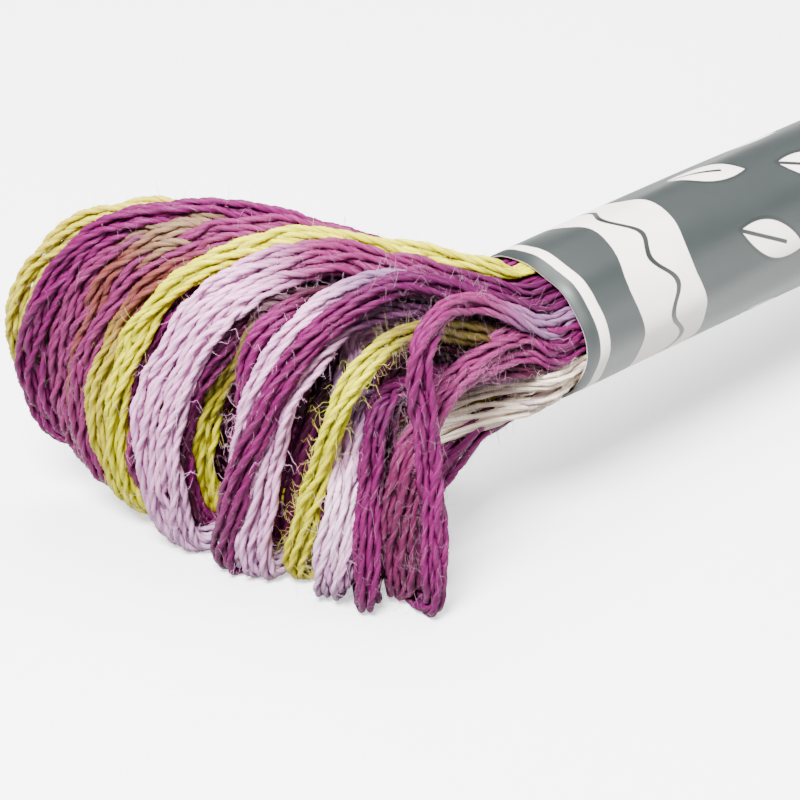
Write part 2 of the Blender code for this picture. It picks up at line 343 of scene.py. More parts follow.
class Dye(Enum):
    """The colours as they change along the thread; GRAPE and WINE are partly dye and partly painted shade."""

    LIME = linear(207, 200, 4)
    STRAW = linear(184, 170, 44)
    OLIVE = linear(104, 92, 14)
    LILAC = linear(222, 160, 204)
    SHELL = linear(236, 194, 222)
    PEARL = linear(166, 127, 163)
    LAVENDER = linear(126, 86, 124)
    DUSK = linear(78, 38, 70)
    PLUM = linear(98, 6, 72)
    MAGENTA = linear(110, 8, 82)
    # GRAPE: a deeper plum, mostly on the lower tips, where it is painted shade.
    GRAPE = linear(76, 4, 58)
    BLUSH = linear(120, 35, 88)
    # WINE: near-black wine on the far turns and the hidden legs, painted shade of the hollow.
    WINE = linear(50, 2, 25)
    ROSE = linear(88, 15, 58)
    MAUVE = linear(113, 32, 82)
    CORAL = linear(112, 54, 50)
    TAN = linear(174, 136, 54)
    BEIGE = linear(122, 94, 70)
    TAUPE = linear(76, 46, 56)
    CREAM = linear(240, 220, 200)


class Mottle(NamedTuple):
    """A pattern along a strand: strength, stretch along, jump from strand to strand, scale and detail."""

    strength: float
    along: float
    jump: float
    scale: float
    detail: float


@dataclass(frozen=True)
class ThreadFinish:
    """Mercerised cotton: dye with random tone, painted shade between the plies, a painted highlight on the ply
    crowns and a soft gloss.
    """

    fibres: Mottle = Mottle(0.8, 0.22, 7.0, 4.8, 3.0)
    tufts: Mottle = Mottle(0.6, 0.55, 11.0, 1.6, 2.0)
    patches: Mottle = Mottle(0.4, 0.35, 13.0, 1.0, 2.0)
    # The next two fields set the painted shade in the grooves between the plies: its width and its darkness.
    groove_width: float = 0.55
    groove_painted_shade: float = 0.42
    # The next five fields set the painted highlight on the ply crowns: where it starts, its share and its paler
    # colour.
    highlight_from: float = 0.78
    painted_highlight_share: float = 0.2
    pale: Colour = (0.7, 0.6, 0.66, 1.0)
    pale_share: float = 0.4
    highlight_lift: float = 1.9
    roughness: float = 0.52
    rough_spread: float = 0.2
    gloss: float = 0.16
    relief: float = 1.0
    relief_depth: float = 0.05

    def build(self) -> bpy.types.Material:
        """Make the material.

        Returns:
            The material.
        """
        graph = Surface(FLOSS[1], self.gloss)
        dye = graph.attribute("dye", "FLOAT_COLOR")
        along, phase = graph.attribute("along"), graph.attribute("phase")
        cosine, sine, _ = graph.attribute("around", "FLOAT_VECTOR").parts()
        fibres, tufts = [
            graph.noise(graph.vector(cosine, sine, along * m.along + phase * m.jump), m.scale, m.detail)
            for m in (self.fibres, self.tufts)
        ]
        patch = self.patches
        patches = graph.noise(graph.vector(along * patch.along, phase * patch.jump, 0.0), patch.scale, patch.detail)
        # Painted shade: the grooves between the plies are darkened in the colour.
        groove = 1.0 - graph.smooth(abs(cosine), 0.0, self.groove_width)
        lift = (fibres - 0.5) * self.fibres.strength + (tufts - 0.5) * self.tufts.strength
        lift = lift + (patches - 0.5) * patch.strength + 1.0
        shade = lift * (1.0 - groove * self.groove_painted_shade)
        # Painted highlight: the ply crowns turn paler where the fibre noise runs high.
        painted_highlight = graph.smooth(fibres + tufts * 0.5, self.highlight_from, 1.0) * (1.0 - groove) * self.painted_highlight_share
        highlight_colour = graph.mix(self.pale_share, graph.shaded(dye, self.highlight_lift), self.pale)
        return graph.feed({
            "Base Color": graph.mix(painted_highlight, graph.shaded(dye, shade), highlight_colour),
            "Roughness": (fibres - 0.5) * self.rough_spread + self.roughness,
            "Normal": graph.bump(fibres, self.relief, self.relief_depth),
        })


@dataclass(frozen=True)
class FibreFinish:
    """Single cotton fibres that stand off the strands, paler than the dye."""

    lift: float = 1.45
    pale: Colour = (0.62, 0.54, 0.58, 1.0)
    pale_share: float = 0.25
    roughness: float = 0.7
    gloss: float = 0.1

    def build(self) -> bpy.types.Material:
        """Make the material.

        Returns:
            The material.
        """
        graph = Surface("stray_fibres", self.gloss)
        dye = graph.attribute("dye", "FLOAT_COLOR")
        colour = graph.mix(self.pale_share, graph.shaded(dye, self.lift), self.pale)
        return graph.feed({"Base Color": colour, "Roughness": self.roughness})


@dataclass(frozen=True)
class PaperFinish:
    """Coated label paper: grey-green ground, ring stripes, a pale wavy panel and large plain leaves.

    Places are in mm. A wave is a rate, a start and a height, a noise has a
    scale and a strength, after its stretch if any, and other pairs are ranges.
    """

    ground: Colour = linear(33, 39, 38)
    ink: Colour = linear(236, 230, 224)
    dark: Colour = linear(24, 28, 28)
    inside: Colour = linear(226, 224, 218)
    stripe: Pair = (0.95, 1.7)
    panel: Pair = (4.7, 9.9)
    waves: tuple[Point, ...] = ((0.43, 0.8, 0.55), (0.85, 0.3, 0.35))
    line_at: float = 7.4
    line_half: float = 0.16
    line_wave: Pair = (1.7, 0.5)
    wobble: Pair = (1.3, 0.06)
    leaf_from: float = 12.7
    leaf_along: float = 6.44
    leaf_around: float = 6.1
    leaf_slant: Pair = (0.85, 0.53)
    leaf_shape: Pair = (-1.3, 0.2)
    leaf_vein: Pair = (0.018, 0.028)
    leaf_point: Pair = (0.16, 0.17)
    leaf_outline: Pair = (-0.045, -0.03)
    leaf_inner: Pair = (0.0, 0.015)
    edge: float = 0.07
    grain: tuple[float, float, float] = (3.0, 6.0, 0.22)
    cloud: Pair = (0.35, 0.3)
    shade: float = 0.74
    outside: Pair = (0.4, 0.6)
    gloss: float = 0.5
    roughness: float = 0.48
    rough_spread: float = 0.15
    relief: Pair = (0.12, 0.02)

    def build(self) -> bpy.types.Material:
        """Make the material.

        Returns:
            The material.
        """
        graph = Surface(BAND[1], self.gloss)
        along, around, face = graph.attribute("sheet", "FLOAT_VECTOR").parts()
        wobble = graph.noise(graph.vector(along, around, 0.0), self.wobble[0], 3.0) * self.wobble[1]
        place = along.least(BAND_LENGTH - along) + wobble
        wave = sum((around * rate + start).sine() * height for rate, start, height in self.waves)
        panel = self._between(graph, place - wave, *self.panel)
        line = place + (around * self.line_wave[0]).sine() * self.line_wave[1] - self.line_at
        line = 1.0 - graph.smooth(abs(line), self.line_half, self.line_half + self.edge)
        outline, leaf = self._leaves(graph, along, around)
        beyond = graph.smooth(place, self.leaf_from, self.leaf_from + self.edge)
        printed = self._between(graph, place, *self.stripe).most(panel).most(leaf * beyond)
        colour = graph.mix(outline * beyond, self.ground, self.dark)
        colour = graph.mix(printed, colour, self.ink)
        colour = graph.mix(line * panel, colour, self.dark)
        stretch, scale, strength = self.grain
        grain = graph.noise(graph.vector(along * stretch, around * stretch, face), scale, 4.0)
        cloud = graph.noise(graph.vector(along, around, 0.0), self.cloud[0], 3.0)
        colour = graph.shaded(colour, grain * strength + cloud * self.cloud[1] + self.shade)
        return graph.feed({
            "Base Color": graph.mix(1.0 - graph.smooth(face, *self.outside), colour, self.inside),
            "Roughness": (grain - 0.5) * self.rough_spread + self.roughness,
            "Normal": graph.bump(grain, *self.relief),
        })

    def _between(self, graph: Graph, place: Value, low: float, high: float) -> Value:
        """Mask the strip of the paper between two places."""
        started = graph.smooth(place, low, low + self.edge)
        return started * (1.0 - graph.smooth(place, high, high + self.edge))

    def _leaves(self, graph: Graph, along: Value, around: Value) -> tuple[Value, Value]:
        """Draw rows of large slanted leaves.

        Args:
            graph: The tree.
            along: Place along the band in mm.
            around: Place around the band in mm.

        Returns:
            A mask of the leaves with their outlines, and a mask of the pale part of the leaves.
        """
        row = along / self.leaf_along
        step = row.fraction()
        column = (around / self.leaf_around + (row - step) * 0.5).fraction() - 0.5
        row = step - 0.5
        cosine, sine = self.leaf_slant
        down = row * cosine + column * sine
        side = abs(column * cosine - row * sine)
        inside = (down * down * self.leaf_shape[0] + self.leaf_shape[1]) - side
        vein = graph.smooth(side, *self.leaf_vein).most(graph.smooth(down, *self.leaf_point))
        return graph.smooth(inside, *self.leaf_outline), graph.smooth(inside, *self.leaf_inner) * vein


@dataclass(frozen=True)
class PlainFinish:
    """An even finish for the floor and for what lies unseen inside the sheaf."""

    name: str
    colour: Colour
    roughness: float = 0.9
    gloss: float = 0.5
    glow: float = 0.0
    mottle_scale: float = 900.0
    mottle: float = 0.06

    def build(self) -> bpy.types.Material:
        """Make the material.

        Returns:
            The material.
        """
        graph = Surface(self.name, self.gloss)
        place = graph.add("ShaderNodeTexCoord")[3]
        shade = graph.noise(place, self.mottle_scale) * self.mottle + (1.0 - self.mottle / 2)
        return graph.feed({
            "Base Color": graph.shaded(self.colour, shade),
            "Roughness": self.roughness,
            "Emission Color": self.colour,
            "Emission Strength": self.glow,
        })


# ------------------------------------------------------------ thread layout


class Look(NamedTuple):
    """How six strands lie and are dyed from rim round to rim, in mm and degrees.

    The last field turns the crown, the shoulder, the tip and the heel aside.
    """

    dyes: str
    across: float = 2.3
    deep: float = 0.8
    fuzz: float = 0.3
    lift: float = 0.0
    parting: float = 0.0
    turned: tuple[float, float, float, float] = (0, 0, 0, 0)


class Turn(NamedTuple):
    """One turn of the fan and its way, in degrees and in mm about the mouth.

    The way is the headings of the crown and the tip and then seven pairs: how
    far out and up the crown, the shoulder, the belly, the tip and the heel
    are, and how far aside and up the turn leaves the mouth and comes back.
    """

    name: str
    look: Look
    way: tuple[float, ...]


TURNS: dict[str, list[Turn]] = {
    "back": [
        Turn("straw_back", Look("PLUM STRAW*3 OLIVE*2 PLUM", 1.7, 0.9, 0.8),
             (39, 42, 20.8, 8.5, 25.8, 6.8, 28.7, 1.5, 27, -4.7, 13, -5.6, 2.5, 2.4, 2.9, -2.0)),
        Turn("plum_back", Look("PLUM*7", 1.9, 0.7, 0.8),
             (35, 41, 16.1, 8.8, 23.8, 7.7, 28.1, 0.3, 26.6, -6.1, 13, -6.8, 1.7, 3.1, 2.2, -2.6)),
        Turn("beige_back", Look("TAUPE BEIGE*2 MAUVE*2 PLUM WINE", 1.5, 0.9, 0.6),
             (35, 40, 18.4, 8.3, 22.8, 6.9, 26.2, 1.3, 25.8, -5.5, 12, -6.4, 2.8, 1.8, 3.6, -0.8)),
        Turn("mauve_sheet", Look("MAUVE TAUPE MAUVE*4 WINE", 2.3, 0.7, 0.6),
             (34, 39, 19, 7.7, 23.9, 5.6, 25.8, 0.3, 25, -7.3, 12, -7.6, 1.7, 2.4, 2.2, -1.3)),
        Turn("tan_back", Look("WINE BEIGE CORAL*2 MAUVE*2 WINE", 1.4, 0.9, 0.8),
             (33, 38, 19.3, 8, 23, 5.8, 25.1, 0.8, 24.7, -7, 11, -7.4, 1, 1.6, 1.5, -2.1)),
        Turn("plum_side", Look("PLUM MAUVE*3 PLUM*2 WINE", 1.4, 0.9, 0.8),
             (31, 37, 14.6, 8.4, 21.3, 6.5, 25.2, -1.1, 24.1, -8.1, 12, -8.2, 1.1, 3.7, 1.4, -3.1)),
        Turn("rose_side", Look("MAGENTA MAUVE CORAL STRAW LIME OLIVE WINE", 1.5, 0.9, 0.8),
             (30, 35, 16.1, 7.9, 21.4, 5.3, 24.5, -2.1, 22.8, -9.1, 11, -8.6, 0.5, 2.8, 0.7, -2.0)),
        Turn("lime_top", Look("LIME*5 OLIVE TAUPE", 1.55, 0.9, 0.6, 0.5),
             (28, 33, 13.1, 7.65, 20.1, 5.6, 23.5, -1.7, 22.3, -9, 11, -8.8, 0.2, 4.5, 0.5, -3.4)),
    ],
    "middle": [
        Turn("wine_under", Look("PLUM*3 MAUVE PLUM WINE*2", 1.8, 0.8, 0.8, -0.5),
             (26, 31, 13.8, 7.5, 19.4, 5.2, 22.4, -2, 21.4, -8.8, 10, -8.8, -0.5, 2.9, 0, -2.5)),
        Turn("lilac_left", Look("GRAPE MAUVE LILAC*2 PEARL LAVENDER DUSK", 1.6, 0.8, 1.2),
             (23, 27, 11.8, 7.4, 18.3, 6, 22.3, -1.1, 20.7, -10.3, 11, -9, -1.6, 3.5, -0.3, -3.4)),
        Turn("lilac_right", Look("PLUM MAUVE LILAC*2 PEARL LAVENDER DUSK", 1.6, 0.8, 1.2, 0.2),
             (20, 25, 12, 7, 17.9, 5.1, 21.2, -1.8, 19.9, -10.3, 10, -9, -1.7, 2.8, -0.8, -2.8)),
        Turn("taupe_inner", Look("WINE LAVENDER MAUVE PLUM*2 WINE*2", 1.5, 0.8, 1.5, -0.3),
             (24, 30, 13.6, 5.6, 16.9, 5, 19.7, -1.1, 19, -9.7, 9, -8.6, 0, 1.8, 0.2, -1.2)),
        Turn("wine_inner", Look("WINE*2 PLUM MAGENTA PLUM WINE*2", 1.1, 0.7, 1.2),
             (22, 29, 14.2, 4.9, 18.6, 1.7, 20.1, -5.3, 18.8, -10.2, 9, -8.6, -0.3, 0.9, 0, -0.4)),
        Turn("plum_inner", Look("WINE*2 PLUM WINE PLUM WINE*2", 1.4, 0.8, 1.0),
             (21, 28, 14.6, 5.2, 19.9, 0.2, 20.9, -6.1, 19.1, -10.2, 9, -8.2, 0.6, 0.3, 0.9, -0.5)),
        Turn("straw_inner", Look("WINE TAUPE OLIVE LIME*2 OLIVE WINE", 1.6, 0.8, 1.2),
             (20, 29, 15.6, 5.6, 17.8, 1.4, 19.3, -4.5, 17.9, -9.3, 9, -8, -1.3, 1, -0.8, -1.0)),
        Turn("mauve_short", Look("PLUM WINE MAGENTA*2 PLUM WINE*2", 1.5, 0.9, 2.4),
             (12, 17, 13.3, 6, 16.9, 4.8, 17.7, -1.3, 18, -9, 9, -8.6, -1.6, 1.9, -1.2, -2.3)),
        Turn("lilac_mid", Look("DUSK LAVENDER LILAC*2 PEARL LAVENDER WINE", 1.4, 0.9, 2.2, 0.3),
             (9, 15, 10.4, 6.4, 15.5, 4.9, 17.8, -0.1, 18, -10.2, 10, -8.8, -2, 2.1, -1.1, -3.3)),
    ],
    "front": [
        Turn("plum_mid", Look("GRAPE*2 PLUM*2 GRAPE*2 WINE", 1.7, 1.2, 1.8, 1.1),
             (5, 17, 9.1, 6.1, 14.6, 4.2, 18.2, -2.9, 18.9, -10.3, 11, -8.4, -2.7, 2.9, -1.9, -3.1)),
        Turn("lilac_parted", Look("WINE DUSK LILAC*2 PEARL LAVENDER WINE", 0.9, 0.8, 1.6, -0.4, 0.9),
             (3.5, 12, 11.6, 5.3, 16.2, 2.6, 17.6, -3, 17.6, -10.3, 10, -7.4, -2.5, 1.5, -1.8, -1.7)),
        Turn("straw_mid", Look("WINE OLIVE LIME*2 STRAW OLIVE*2", 1.5, 1.1, 3.6, 1.4),
             (-5, 8, 9.9, 4.1, 13.7, 2.2, 15.4, -3.9, 15.9, -10.1, 9.6, -6, -2.5, 0.9, -2.2, -0.8)),
        Turn("lilac_front", Look("WINE LILAC LAVENDER SHELL LAVENDER*2 CREAM",
             1.3, 0.8, 1.5, -0.6, 0.8, (16, 10, 3, 6)),
             (-6, -2, 11.1, 3.4, 12.7, 1.7, 15.2, -3, 16, -10.2, 6.3, -4.2, -3.2, 1.6, -3.85, -1.7)),
        Turn("grey_lilac", Look("WINE DUSK LAVENDER LILAC LAVENDER CREAM*2",
             1.4, 0.9, 3.0, 0.0, 0.0, (0, 0, 3, 6)),
             (-1, -5, 11.3, 0.2, 13.4, 0.7, 14.4, -3.8, 15.9, -9.4, 6.8, -2.3, -3.3, 0.6, -4.2, -0.5)),
        Turn("plum_front", Look("WINE PLUM GRAPE PLUM GRAPE*2 PLUM", 1.4, 0.9, 2.4, 0.0, 0.5, (0, 0, 6, 12)),
             (-5, -10, 10.5, 1.3, 13, 1.1, 14.4, -3.4, 15.3, -10.4, 9.6, -5.1, -3.8, -0.1, -1.9, -2.9)),
        Turn("rose_left", Look("PLUM BLUSH*2 ROSE MAUVE CREAM*2", 1.5, 0.9, 3.0, 1.0, 0.0, (-34, -4, 7, 14)),
             (-12, -14, 3.9, 0.7, 10.2, 0.7, 13.5, -3.9, 13.3, -10.2, 9.5, -4.4, -4.2, 0.7, -3.4, -2.4)),
        Turn("rose_right", Look("PLUM BLUSH*2 ROSE MAUVE GRAPE*2", 1.5, 0.9, 3.4, 1.3, 0.0, (-34, -4, 8, 9)),
             (-12, -16, 3.6, 1.8, 9.4, 1.2, 12.9, -3.1, 13.2, -10, 9, -5, -4, 1.6, -1.5, -3.5)),
        Turn("plum_hanging", Look("LAVENDER MAUVE PLUM MAGENTA GRAPE PLUM WINE",
             1.5, 1.1, 1.6, 1.2, 0.25, (0, 0, 12, 11)),
             (-14, -23, 6.2, 4.7, 12.5, 5.2, 12.7, -0.9, 13.8, -10.4, 7.6, -4.6, -3.6, 2.3, -2, -2.0)),
    ],
    # The far turns fill the hollow behind the fan; their WINE dye paints the hollow's deep shade.
    "far": [
        Turn("wine_far", Look("PLUM WINE*2 MAUVE LILAC LAVENDER PLUM", 2.65),
             (42, 46, 10, 5, 17, 5.2, 21.7, 0, 20.6, -7.6, 10, -7, 2.9, 1.5, 3.3, -1.4)),
        Turn("plum_far", Look("WINE*3 MAGENTA PLUM WINE*2", 2.65),
             (46, 50, 9, 4.3, 15.2, 4.2, 19.3, -1.2, 18.4, -8.2, 8, -7.2, 3.4, 0.9, 3.9, -0.2)),
        Turn("rose_far", Look("WINE*2 PLUM TAN LIME OLIVE WINE", 2.65),
             (46, 52, 9.5, 4.2, 14.4, 3.4, 17, -2, 16.2, -8.4, 8, -6.8, 2.1, 0.9, 2.4, -0.3)),
        Turn("wine_last", Look("PLUM MAUVE ROSE MAGENTA PLUM*2 WINE", 2.65),
             (50, 56, 7, 3.1, 12.2, 2.6, 14.7, -2.2, 14, -8.4, 6.5, -6.8, 4, 0.8, 3.6, -2.0)),
        Turn("straw_behind", Look("WINE MAUVE OLIVE*4 WINE", 2.3, 0.7),
             (39, 42.9, 16.6, 7.7, 23.8, 6.9, 27.7, 0.2, 26.2, -6.6, 12, -6.6, 3, 1.2, 3.4, -1.4)),
        Turn("mauve_behind", Look("WINE MAUVE*4 PLUM WINE"),
             (38, 41, 17, 7.6, 21.4, 5.6, 24.2, 0, 23.4, -7.2, 11, -7, 1.9, 1, 2.4, -0.8)),
        Turn("wine_behind", Look("WINE*3 PLUM*2 WINE*2"),
             (34, 37, 14.6, 6.6, 19.2, 4.6, 21.8, -1.6, 20.9, -8.6, 10, -7.6, 1.2, 0.6, 1.6, -0.4)),
        Turn("plum_behind", Look("WINE*3 PLUM MAUVE WINE*2"),
             (10, 15, 9.6, 2.6, 13.4, 0.8, 15, -4.4, 15.3, -9.6, 8, -7.6, -1.2, 0.2, -1, -0.8)),
        Turn("wine_between", Look("WINE*3 PLUM WINE*3"),
             (27, 33, 11, 1.8, 14.4, 0.6, 17.1, -2.8, 17, -8.9, 9, -7.6, -0.2, 0.2, 0.2, -0.2)),
        Turn("rose_behind", Look("WINE*3 PLUM WINE*3"),
             (-2, -1.5, 7, 2.2, 10.6, 2, 11.8, -4.6, 12.9, -9.9, 6.6, -6, -2.6, -0.8, -1.6, -2.0)),
        Turn("short_far", Look("WINE*3 PLUM WINE*3", 2.65),
             (50, 56, 6.5, 3, 10.4, 2.2, 12.4, -2.2, 11.9, -7.8, 6, -6.4, 3.3, 0.8, 3.5, -1.0)),
        Turn("shorter_far", Look("WINE*3 MAUVE LILAC WINE*2", 2.65),
             (54, 58, 5.6, 3.2, 8.8, 2, 10.2, -2.2, 9.9, -7.6, 5.4, -6.2, 3.8, 0.4, 4, -0.8)),
        Turn("shortest_far", Look("WINE*2 PLUM MAGENTA PLUM WINE*2", 2.65),
             (56, 62, 4.4, 2.4, 7.2, 1.4, 8.5, -2, 8.3, -6.8, 4.6, -5.6, 4.2, 0.2, 4.2, -0.6)),
    ],
}


@dataclass
class Bundle:
    """The strands of one turn: points in mm about the mouth, and what each point carries."""

    group: str
    points: Array
    dyes: Array
    girth: Array
    fuzz: Array
    outward: Array


def gathered(bundles: list[Bundle], name: str, width: int) -> Array:
    """Put one field of all bundles in rows of a width."""
    return np.concatenate([getattr(b, name).reshape(-1, width) for b in bundles])


def owners(bundles: list[Bundle]) -> Array:
    """Number the strand of each point."""
    sizes = [b.points.shape[1] for b in bundles for _ in b.points]
    return np.repeat(np.arange(len(sizes)), sizes)


def unit(rows: Array) -> Array:
    """Scale each row to length 1."""
    return rows / np.maximum(np.linalg.norm(rows, axis=-1, keepdims=True), 1e-9)


def eased(value: Array, low: float, high: float) -> Array:
    """Step softly from 0 at low to 1 at high."""
    share = np.clip((value - low) / (high - low), 0.0, 1.0)
    return share * share * (3.0 - 2.0 * share)


def hump(value: Array, marks: Sequence[float], height: float = 1.0) -> Array:
    """Rise softly to a height between the first two marks and fall between the last two."""
    return height * eased(value, *marks[:2]) * (1.0 - eased(value, *marks[2:]))


def ramped(first: Array, second: Array, value: Array, low: float, high: float) -> Array:
    """Go straight from the first to the second as the value goes from low to high."""
    return first + (second - first) * (value - low) / (high - low)


def smooth_route(points: Sequence[Sequence[float]], steps: Sequence[float]) -> tuple[Array, Array]:
    """Run a smooth curve through points.

    Args:
        points: The stations, in mm.
        steps: Point spacing on each stretch between stations, in mm.

    Returns:
        The route's points, and each one's place as a station number with its fraction.
    """
    stations = np.asarray(points, dtype=float)
    padded = np.vstack([2 * stations[0] - stations[1], stations, 2 * stations[-1] - stations[-2]])
    times = np.concatenate([[0.0], np.cumsum(np.sqrt(np.linalg.norm(np.diff(padded, axis=0), axis=1)))])
    route, marks = [], []
    for index, step in enumerate(steps):
        p0, p1, p2, p3 = padded[index:index + 4]
        t0, t1, t2, t3 = times[index:index + 4]
        pieces = max(1, round(float(np.linalg.norm(p2 - p1)) / step))
        share = np.arange(pieces) / pieces
        t = (t1 + (t2 - t1) * share)[:, None]
        a1, a2, a3 = ramped(p0, p1, t, t0, t1), ramped(p1, p2, t, t1, t2), ramped(p2, p3, t, t2, t3)
        route.append(ramped(ramped(a1, a2, t, t0, t2), ramped(a2, a3, t, t1, t3), t, t1, t2))
        marks.append(index + share)
    return np.vstack([*route, stations[-1:]]), np.concatenate([*marks, [len(stations) - 1.0]])


def carried(tangent: Array, facing: Array, anchor: int) -> Array:
    """Carry the direction across a bundle along its route without twisting it.

    Args:
        tangent: The route's direction at each point.
        facing: The direction that the bundle's broad side faces at the anchor.
        anchor: The point to start from.

    Returns:
        The direction across the bundle at each point.
    """
    side = np.zeros_like(tangent)
    side[anchor] = np.cross(facing, tangent[anchor])
    for way in (range(anchor + 1, len(tangent)), range(anchor - 1, -1, -1)):
        last = side[anchor] / np.linalg.norm(side[anchor])
        side[anchor] = last
        for place in way:
            last = last - tangent[place] * np.dot(last, tangent[place])
            last = last / np.linalg.norm(last)
            side[place] = last
    return side


def dye_row(words: str) -> Array:
    """List the colours of dyes named in order, where 'PLUM*3' is three times plum."""
    pairs = [word.split("*") for word in words.split()]
    return np.array([Dye[name].value for name, *times in pairs for _ in range(int((times or [1])[0]))])


def loop_dyes(colours: Array, marks: Array, stops: Sequence[float]) -> Array:
    """Blend dyes along a route.

    Args:
        colours: The dyes' colours, in order.
        marks: Each point's place as a station number.
        stops: The station of each dye.

    Returns:
        A colour for each point.
    """
    place = np.interp(marks, stops, np.arange(len(stops)))
    low = np.clip(np.floor(place).astype(int), 0, len(stops) - 2)
    share = eased(place - low, 0.1, 0.9)[:, None]
    return colours[low] * (1 - share) + colours[low + 1] * share


@dataclass
class Course:
    """A bundle's middle line in mm, and what changes along it.

    The broad side faces a direction at the anchor point. The halves are the
    ring of strands' half widths across and deep, the parting is the gap in
    its middle, and the tip is how much of a loose tip each point is.
    """

    group: str
    route: Array
    facing: Array
    anchor: int
    half: tuple[Array, Array]
    parting: Array
    tip: Array
    dye: Array
    fuzz: Array


@dataclass
class StrandLayout:
    """Lays six strands along a course, as a loose rope that may part in two."""

    strands: int = 6
    girth: float = 0.235
    rope_pitch: float = 30.0
    flat_width: Pair = (0.8, 1.0)
    split_gap: Pair = (0.05, 0.5)
    trio_radius: float = 0.22
    trio_roll: float = 1.4
    trio_turn: float = 1.7
    wander: float = 0.12
    wander_peak: float = 1.7
    wavelengths: tuple[float, ...] = (5.0, 8.5, 14.0)
    wave_spread: Pair = (0.8, 1.2)
    tip_scatter: float = 0.3
    seed: int = 11
    random: np.random.Generator = field(init=False)

    def __post_init__(self) -> None:
        """Start the random order."""
        self.random = np.random.default_rng(self.seed)

    def lay(self, course: Course) -> Bundle:
        """Lay the strands.

        Args:
            course: The bundle's course.

        Returns:
            The bundle.
        """
        route, parting, last = course.route, course.parting, self.strands - 1
        tangent = unit(np.gradient(route, axis=0))
        side = carried(tangent, course.facing, course.anchor)
        outer = np.cross(tangent, side)
        along = np.concatenate([[0.0], np.cumsum(np.linalg.norm(np.diff(route, axis=0), axis=1))])
        roll = along / self.rope_pitch * math.tau + self.random.uniform(0, math.tau)
        split = eased(parting, *self.split_gap)
        flat = eased(np.full(1, course.half[0].max()), *self.flat_width)
        points = []
        for strand in range(self.strands):
            angle = roll + strand * math.tau / last
            core = float(strand != last)
            trio = roll * self.trio_roll + (strand // 2) * math.tau / 3 + (strand % 2) * self.trio_turn
            spread = (2.0 * strand / last - 1.0) * flat + core * np.cos(angle) * (1 - flat)
            across = course.half[0] * spread * (1 - split) + self.trio_radius * np.cos(trio) * split
            deep = course.half[1] * core * np.sin(angle) * (1 - split) + self.trio_radius * np.sin(trio) * split
            across = across + self._drift(along)
            deep = deep + self._drift(along) + course.tip * self.random.uniform(-1, 1) * self.tip_scatter
            aside = (1.0 if strand % 2 else -1.0) * parting / 2
            points.append(route + side * across[:, None] + outer * deep[:, None] + side * aside[:, None])
        points = np.array(points)
        shape = points.shape[:2]
        dyes, fuzz = np.broadcast_to(course.dye, (*shape, 4)), np.broadcast_to(course.fuzz, shape)
        outward = unit(points - route[None] + TINY)
        return Bundle(course.group, points, dyes, np.full(shape, self.girth), fuzz, outward)

    def _drift(self, along: Array) -> Array:
        """Let a strand wander from its place.

        Args:
            along: Length along the strand, in mm.

        Returns:
            The offset at each point, in mm.
        """
        total = np.zeros_like(along)
        for wavelength in self.wavelengths:
            phase = self.random.uniform(0, math.tau)
            total += np.sin(along / (wavelength * self.random.uniform(*self.wave_spread)) * math.tau + phase)
        return total * self.wander / self.wander_peak


